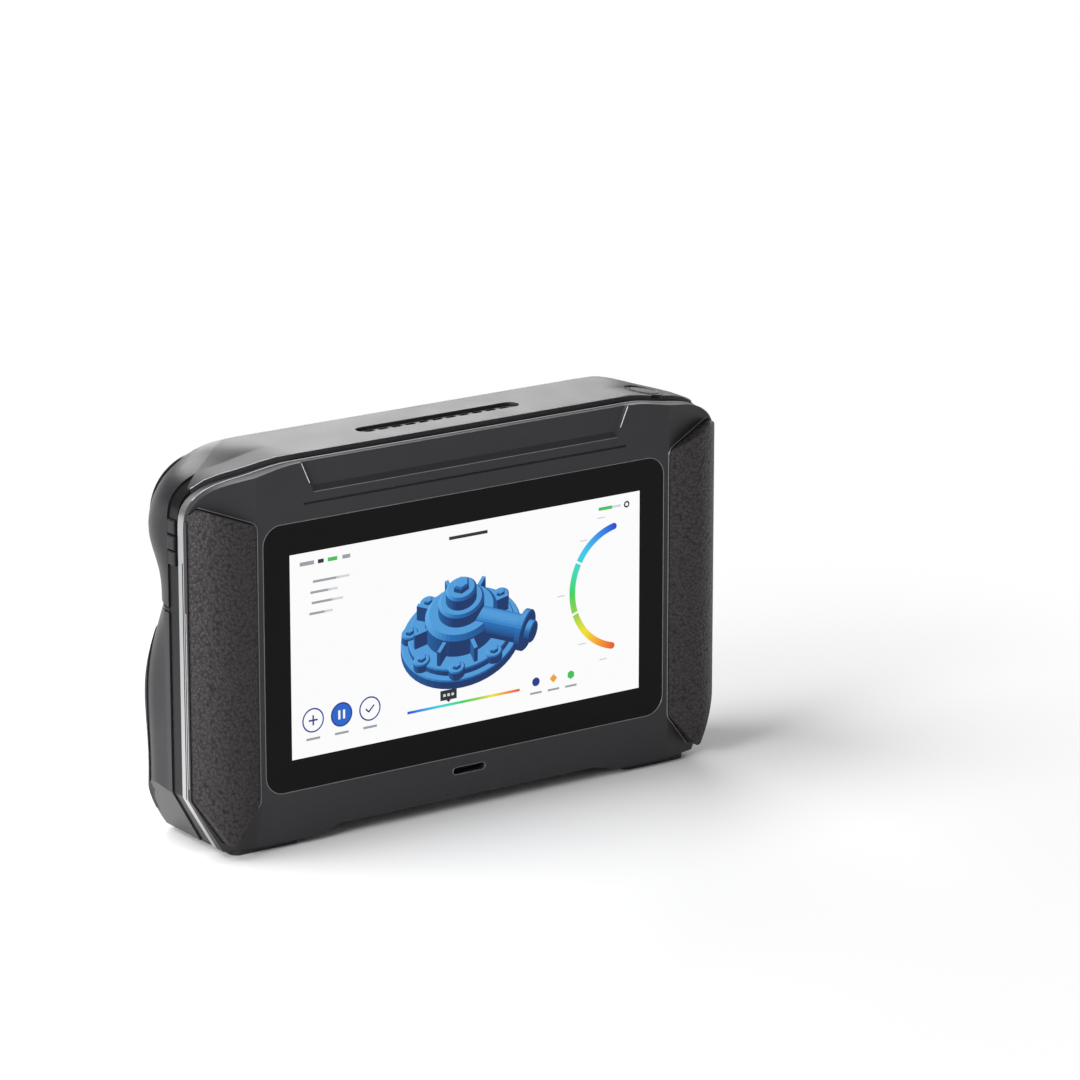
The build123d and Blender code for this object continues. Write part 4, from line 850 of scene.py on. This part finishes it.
# %% Rings, domes and lamps of both pods
for word, place in PODS.items():
    lens_place, eye = place @ shift(LENS_X, 0), place @ shift(EYE_X, 0)
    rings = bmesh.new()
    spun(rings, lens_profile, lens_place, steps=64)
    finish_piece(rings, "lens_ring_" + word, barrel_grey, smooth=True)
    baffles = bmesh.new()
    spun(baffles, baffle_profile, lens_place, steps=64)
    finish_piece(baffles, "lens_baffles_" + word, barrel_black, smooth=True)
    small = bmesh.new()
    spun(small, eye_profile, eye, steps=48)
    spun(small, pupil_profile, eye, steps=48)
    for x, z in EMITTERS:
        spun(small, emitter_profile, place @ shift(x, z), steps=36)
    finish_piece(small, "small_rings_" + word, rim_metal_and_highlight, smooth=True)
    glass = bmesh.new()
    dome(glass, 1.88, -0.7, 0.45, eye, steps=36)
    finish_piece(glass, "small_lens_" + word, small_lens[word], smooth=True)
    domes = bmesh.new()
    for x, z in EMITTERS:
        dome(domes, 1.66, -0.2, 0.85, place @ shift(x, z))
    finish_piece(domes, "emitter_domes_" + word, smoked_dome, smooth=True)
    lamps = bmesh.new()
    for number in range(LAMP_COUNT):
        on_lamp = lens_place @ shift(0, 0, 360 / LAMP_COUNT * number) @ shift(0, LAMP_RADIUS)
        for y in (-0.5, 0.55):
            rounded_plate(lamps, 2.0, 0.86, 0.12, -0.2, -0.08, 0.04, on_lamp @ shift(0, y))
    finish_piece(lamps, "lamp_phosphor_" + word, lamp_phosphor)
    # Grey bead along the pod face's edge: painted highlight.
    edge = bmesh.new()
    outline = rounded_outline(POD_LENGTH - 2 * EDGE_INSET, POD_WIDTH - 2 * EDGE_INSET, 19.0 - 1.06, 16)
    path = [place @ Vector((x * MM, y * MM, -0.09 * MM)) for x, y in outline]
    bead(edge, path, 0.18, True, place.to_3x3() @ Vector((0, 0, 1)))
    finish_piece(edge, "pod_highlight_bead_" + word, rim_metal_and_highlight, smooth=True)
print("pods dressed:", len(PODS))

# %% [markdown]
# ## Centre window
# Four line lasers sit behind small rounded frames, two upright and two tilted. Each shows a pink strip,
# a painted reflection, beside its dark prism. Two flash units have a wide frame and two bright dies, and a
# round sensor at the end measures the distance.

# %% Frames, strips and dies of the centre window
LASERS = ((-0.3, 5.75, 0.0), (-0.3, -5.75, 0.0), (11.7, 5.75, -28.0), (11.7, -5.75, 28.0))
FLASHES = (-12.4, 25.8)
ranger_outer = [(3.86, -0.5), (3.86, 0.02), (3.7, 0.14), (3.45, 0.14), (3.2, -0.1), (3.2, -0.5)]
ranger_inner = [(2.7, -0.5), (2.7, -0.2), (2.5, -0.05), (2.25, -0.05), (2.0, -0.25), (2.0, -0.5)]
frames = bmesh.new()
filters = bmesh.new()
strips = bmesh.new()
for x, y, turn in LASERS:
    laser = WINDOW @ shift(x, y, turn)
    rounded_frame(frames, 6.6, 8.8, 1.15, 0.42, -0.5, 0.04, 0.12, laser)
    rounded_frame(frames, 2.9, 6.6, 0.5, 0.22, -0.5, -0.22, 0.06, laser @ shift(0.95, 0))
    rounded_plate(filters, 5.7, 7.9, 0.8, -0.5, -0.42, 0.03, laser)
    rounded_plate(strips, 1.25, 4.6, 0.25, -0.42, -0.3, 0.05, laser @ shift(-1.75, 0.5))
flash_frames = bmesh.new()
dies = bmesh.new()
for x in FLASHES:
    flash = WINDOW @ shift(x, 0)
    rounded_frame(frames, 7.8, 8.2, 1.6, 0.3, -0.5, 0.04, 0.1, flash)
    rounded_frame(flash_frames, 7.1, 7.5, 1.3, 1.1, -0.5, -0.06, 0.2, flash)
    rounded_frame(frames, 4.8, 5.2, 0.7, 0.22, -0.5, -0.2, 0.06, flash)
    rounded_plate(filters, 4.3, 4.7, 0.5, -0.5, -0.4, 0.03, flash)
    for y in (-0.95, 0.95):
        dome(dies, 0.62, -0.42, 0.3, flash @ shift(-0.2, y), steps=20)
ranger = WINDOW @ shift(RANGE_X, 0)
spun(frames, ranger_outer, ranger, steps=48)
spun(frames, ranger_inner, ranger, steps=48)
finish_piece(frames, "window_frames", rim_metal_and_highlight, smooth=True)
finish_piece(flash_frames, "flash_surrounds", key_abs, smooth=True)
finish_piece(filters, "laser_filters", dark_glass)
# The pink strips are painted reflections.
finish_piece(strips, "laser_reflection_strips", laser_pink_reflection)
finish_piece(dies, "flash_dies", bright_die, smooth=True)
ranger_lens = bmesh.new()
dome(ranger_lens, SMALL_REACH, -0.5, 0.5, ranger, steps=36)
finish_piece(ranger_lens, "range_lens", range_lens, smooth=True)
print("lasers and flashes in the window:", len(LASERS), len(FLASHES))

# %% [markdown]
# ## Fine edges
# Thin light beads along each grip, around the glass, along the speaker's slot and on the visor's ledge
# are painted highlights of those edges. Each is a fraction of a millimetre wide, but draws the thin light
# lines that outline the grips and the screen.


# %% Painted highlight lips along the grips and around the glass
FORWARD, SUNK = Vector((0, -1, 0)), 0.02
FLAT_END, FACET_WIDTH, FACET_DEPTH = 80.0, 22.4, 5.8
GLASS_WIDTH, GLASS_HEIGHT, SLOT_WIDTH, SLOT_HEIGHT = 155.4, 88.8, 12.6, 2.4
SLOT_Z, LEDGE_Z, LEDGE_HALF = 13.5, 116.5, 58.8
inner_lip = [(98.6, 116.45), (81.8, 109.95), (80.6, 109.2), (79.98, 108.1), (79.86, 106.9),
             (79.86, 18.1), (80.02, 16.9), (80.4, 16.1), (89.7, 5.2)]


def cover_depth(x_mm):
    return max(0.0, (abs(x_mm) - FLAT_END) / FACET_WIDTH * FACET_DEPTH)


def on_bezel(points, middle):
    return [middle + Vector((x * MM, SUNK * MM, z * MM)) for x, z in points]


lips = bmesh.new()
for side in (-1, 1):
    path = [Vector((side * x * MM, SCREEN.y + (cover_depth(x) - SUNK) * MM, z * MM)) for x, z in inner_lip]
    bead(lips, path, 0.17, False, FORWARD)
glass_edge = rounded_outline(GLASS_WIDTH + 0.3, GLASS_HEIGHT + 0.3, 6.6, 10)
bead(lips, on_bezel(glass_edge, SCREEN), 0.14, True, FORWARD)
slot_edge = rounded_outline(SLOT_WIDTH + 0.1, SLOT_HEIGHT + 0.1, 1.24, 6)
bead(lips, on_bezel(slot_edge, Vector((0, SCREEN.y, SLOT_Z * MM))), 0.11, True, FORWARD)
ledge = [(-LEDGE_HALF, 0), (LEDGE_HALF, 0)]
bead(lips, on_bezel(ledge, Vector((0, SCREEN.y, LEDGE_Z * MM))), 0.13, False, FORWARD)
# These beads are painted highlights of the bezel's edges.
finish_piece(lips, "cover_highlight_lips", lip_highlight_abs, smooth=True)
print("grip lip points:", len(inner_lip))

# %% [markdown]
# Bright beads over the top of the bezel, down each side of the trim and on the visor's slanted ends are
# painted highlights of those edges. A dark parting line splits the trim along each side, and the sensor
# bar has a dark seam along both edges of its top bevel, with two latch points painted bright as highlights.


# %% Painted highlights and parting lines
def mirrored(points):
    return [[Vector((side * x * MM, y * MM, z * MM)) for x, y, z in points] for side in (-1, 1)]


BACKWARD = Vector((0, 1, 0))
shoulder = [(99.0, -15.82, 118.18), (95.23, -16.27, 120.73), (90.96, -16.78, 122.33),
            (86.5, -17.32, 123.26), (82.0, -17.86, 123.97), (77.52, -18.39, 124.83),
            (73.05, -18.93, 125.71), (68.55, -19.47, 126.41), (64.0, -20.02, 126.7)]
roof = [(97.2, -12.03, 121.1), (92.85, -12.79, 123.34), (88.13, -13.61, 124.62), (83.3, -14.45, 125.44),
        (78.49, -15.29, 126.35), (73.7, -16.13, 127.35), (68.88, -16.97, 128.16), (64.0, -17.82, 128.5)]
visor_end = [(63.15, -23.42, 126.4), (60.2, -23.42, 119.7)]
trim_streak = [(102.38, -16.7, 24.0), (102.38, -16.7, 82.0)]
trim_split = [(102.2, -14.7, 20.0), (102.2, -14.7, 98.0)]
BAR_FACE, BAR_EDGE = 14.18, 125.1
bar_seams = ((BAR_FACE, BAR_EDGE, 74.0, 0.3), (10.1, 128.2, 63.0, 0.25))
latch = [(39.9, BAR_FACE, BAR_EDGE + 0.1), (41.3, BAR_FACE, BAR_EDGE + 0.1)]
bright = bmesh.new()
for points, drop, radius in ((shoulder, 0.0, 0.2), (roof, 0.15, 0.14)):
    over_left, over_right = mirrored([(x, y, z - drop) for x, y, z in points])
    bead(bright, over_left + over_right[::-1], radius, False, FORWARD)
for path in mirrored(visor_end) + mirrored(trim_streak):
    bead(bright, path, 0.15, False, FORWARD)
# Painted highlights of the trim's, roof's and visor's edges.
finish_piece(bright, "bright_edges", highlight_silver, smooth=True)
dark = bmesh.new()
for path in mirrored(trim_split):
    bead(dark, path, 0.16, False, FORWARD)
for y, z, across, radius in bar_seams:
    bead(dark, [Vector((x * MM, y * MM, z * MM)) for x in (-across, across)], radius, False, BACKWARD)
finish_piece(dark, "parting_lines", frame_abs, smooth=True)
latches = bmesh.new()
for path in mirrored(latch):
    bead(latches, path, 0.42, False, BACKWARD)
# Latch points painted bright: painted highlight.
finish_piece(latches, "latch_points", highlight_silver, smooth=True)
print("bright edge points:", len(shoulder))

# %% [markdown]
# ## Floor, light and camera
# The product stands on a pale floor that turns to plain white with distance. A broad lamp hangs
# above, a smaller one at the front left draws the grips and the trim, a weak one stands at the right
# and a broad one behind, for the sensor side. A dim sky fills the shadows, and the camera sees it
# white.


# %% Floor
def seen_rays(tree, glossy):
    rays = add(tree, "ShaderNodeLightPath")
    larger = {"operation": "MAXIMUM"}
    seen = add(tree, "ShaderNodeMath", larger, i0=(rays, "Is Camera Ray"), i1=(rays, "Is Transmission Ray"))
    if glossy:
        seen = add(tree, "ShaderNodeMath", larger, i0=(seen, "Value"), i1=(rays, "Is Glossy Ray"))
    return seen


NEAR_FLOOR, FAR_FLOOR = 0.12, 0.34
floor_shape = bmesh.new()
bmesh.ops.create_grid(floor_shape, x_segments=1, y_segments=1, size=6.0)
floor_look = {"Base_Color": linear("#f4f4f4"), "Roughness": 0.9, "Specular_IOR_Level": 0.1}
floor_finish, tree, shader = new_finish("pale_studio_floor", **floor_look)
place = add(tree, "ShaderNodeTexCoord")
distance = add(tree, "ShaderNodeVectorMath", {"operation": "LENGTH"}, i0=(place, "Object"))
far = add(tree, "ShaderNodeMapRange", {"interpolation_type": "SMOOTHSTEP"}, Value=(distance, "Value"),
          From_Min=NEAR_FLOOR, From_Max=FAR_FLOOR)
seen = seen_rays(tree, True)
share = add(tree, "ShaderNodeMath", {"operation": "MULTIPLY"}, i0=(far, "Result"), i1=(seen, "Value"))
white = add(tree, "ShaderNodeEmission", Color=(1, 1, 1, 1), Strength=1.0)
both = add(tree, "ShaderNodeMixShader", i0=(share, "Value"))
tree.links.new(shader.outputs["BSDF"], both.inputs[1])
tree.links.new(white.outputs["Emission"], both.inputs[2])
tree.links.new(both.outputs["Shader"], tree.nodes["Material Output"].inputs["Surface"])
floor = object_from(floor_shape, "floor", floor_finish)
print("floor turns white between, in m:", NEAR_FLOOR, FAR_FLOOR)

# %% Sky
sky = bpy.data.worlds.new("studio_sky")
bpy.context.scene.world = sky
sky.use_nodes = True
tree = sky.node_tree
SKY_LIGHT, SKY_SEEN = 0.28, 1.0
seen = seen_rays(tree, False)
level = add(tree, "ShaderNodeMapRange", Value=(seen, "Value"), To_Min=SKY_LIGHT, To_Max=SKY_SEEN)
background = tree.nodes["Background"]
background.inputs["Color"].default_value = (1, 1, 1, 1)
tree.links.new(level.outputs["Result"], background.inputs["Strength"])
print("sky as light and as seen:", SKY_LIGHT, SKY_SEEN)


# %% Lamps
def soft_lamp(name, place, aim, size, power):
    lamp = bpy.data.lights.new(name, "AREA")
    lamp.shape = "DISK"
    lamp.size = size
    lamp.energy = power
    holder = bpy.data.objects.new(name, lamp)
    bpy.context.scene.collection.objects.link(holder)
    holder.location = place
    holder.rotation_euler = (Vector(aim) - Vector(place)).to_track_quat("-Z", "Y").to_euler()


LAMPS = {
    "lamp_above": ((-0.55, 0.25, 1.0), (0, 0, 0.06), 0.7, 9.6),
    "lamp_front": ((-0.82, -0.22, 0.34), (0, 0, 0.06), 0.35, 6.0),
    "lamp_side": ((1.0, -0.3, 0.5), (0, 0, 0.06), 0.6, 0.2),
    "lamp_behind": ((0.50, 1.0, 0.52), (0, 0, 0.08), 0.75, 6.4),
}
for name, (place, aim, size, power) in LAMPS.items():
    soft_lamp(name, place, aim, size, power)
print("lamps:", ", ".join(LAMPS))

# %% [markdown]
# ### Camera
# The picture was taken with a long lens from the front left, about 17 degrees above the scanner.
# The camera's turn, rise, distance and lens come from fitting the screen's corners. Lengths in the
# photo are in its pixels, and `place_x` and `place_y` say where in it the screen's middle lies, left
# of and below the photo's own middle.

# %% Camera
turn, rise, roll = radians(-33.882), radians(16.807), radians(-0.221)
back = Vector((sin(turn) * cos(rise), -cos(turn) * cos(rise), sin(rise)))
side_way = Vector((cos(turn), sin(turn), 0))
up_way = back.cross(side_way)
right_way = side_way * cos(roll) + up_way * sin(roll)
up_way = -side_way * sin(roll) + up_way * cos(roll)
PHOTO, LENS_PIXELS, DISTANCE, SENSOR = 1080, 5393.5, 1.75, 36.0
place_x, place_y = 468.64, 623.37
aside, down = (place_x - PHOTO / 2) / LENS_PIXELS, (place_y - PHOTO / 2) / LENS_PIXELS
back_aim = (back + right_way * aside - up_way * down).normalized()
right_aim = (right_way - back_aim * right_way.dot(back_aim)).normalized()
up_aim = back_aim.cross(right_aim)
lens = bpy.data.cameras.new("camera")
lens.sensor_width = SENSOR
lens.lens = SENSOR * LENS_PIXELS / PHOTO
camera = bpy.data.objects.new("camera", lens)
bpy.context.scene.collection.objects.link(camera)
facing = Matrix((right_aim, up_aim, back_aim)).transposed().to_4x4()
camera.matrix_world = Matrix.Translation(SCREEN + back * DISTANCE) @ facing
bpy.context.scene.camera = camera
bpy.context.scene.view_settings.view_transform = "Standard"
print("lens in mm:", round(lens.lens, 1))
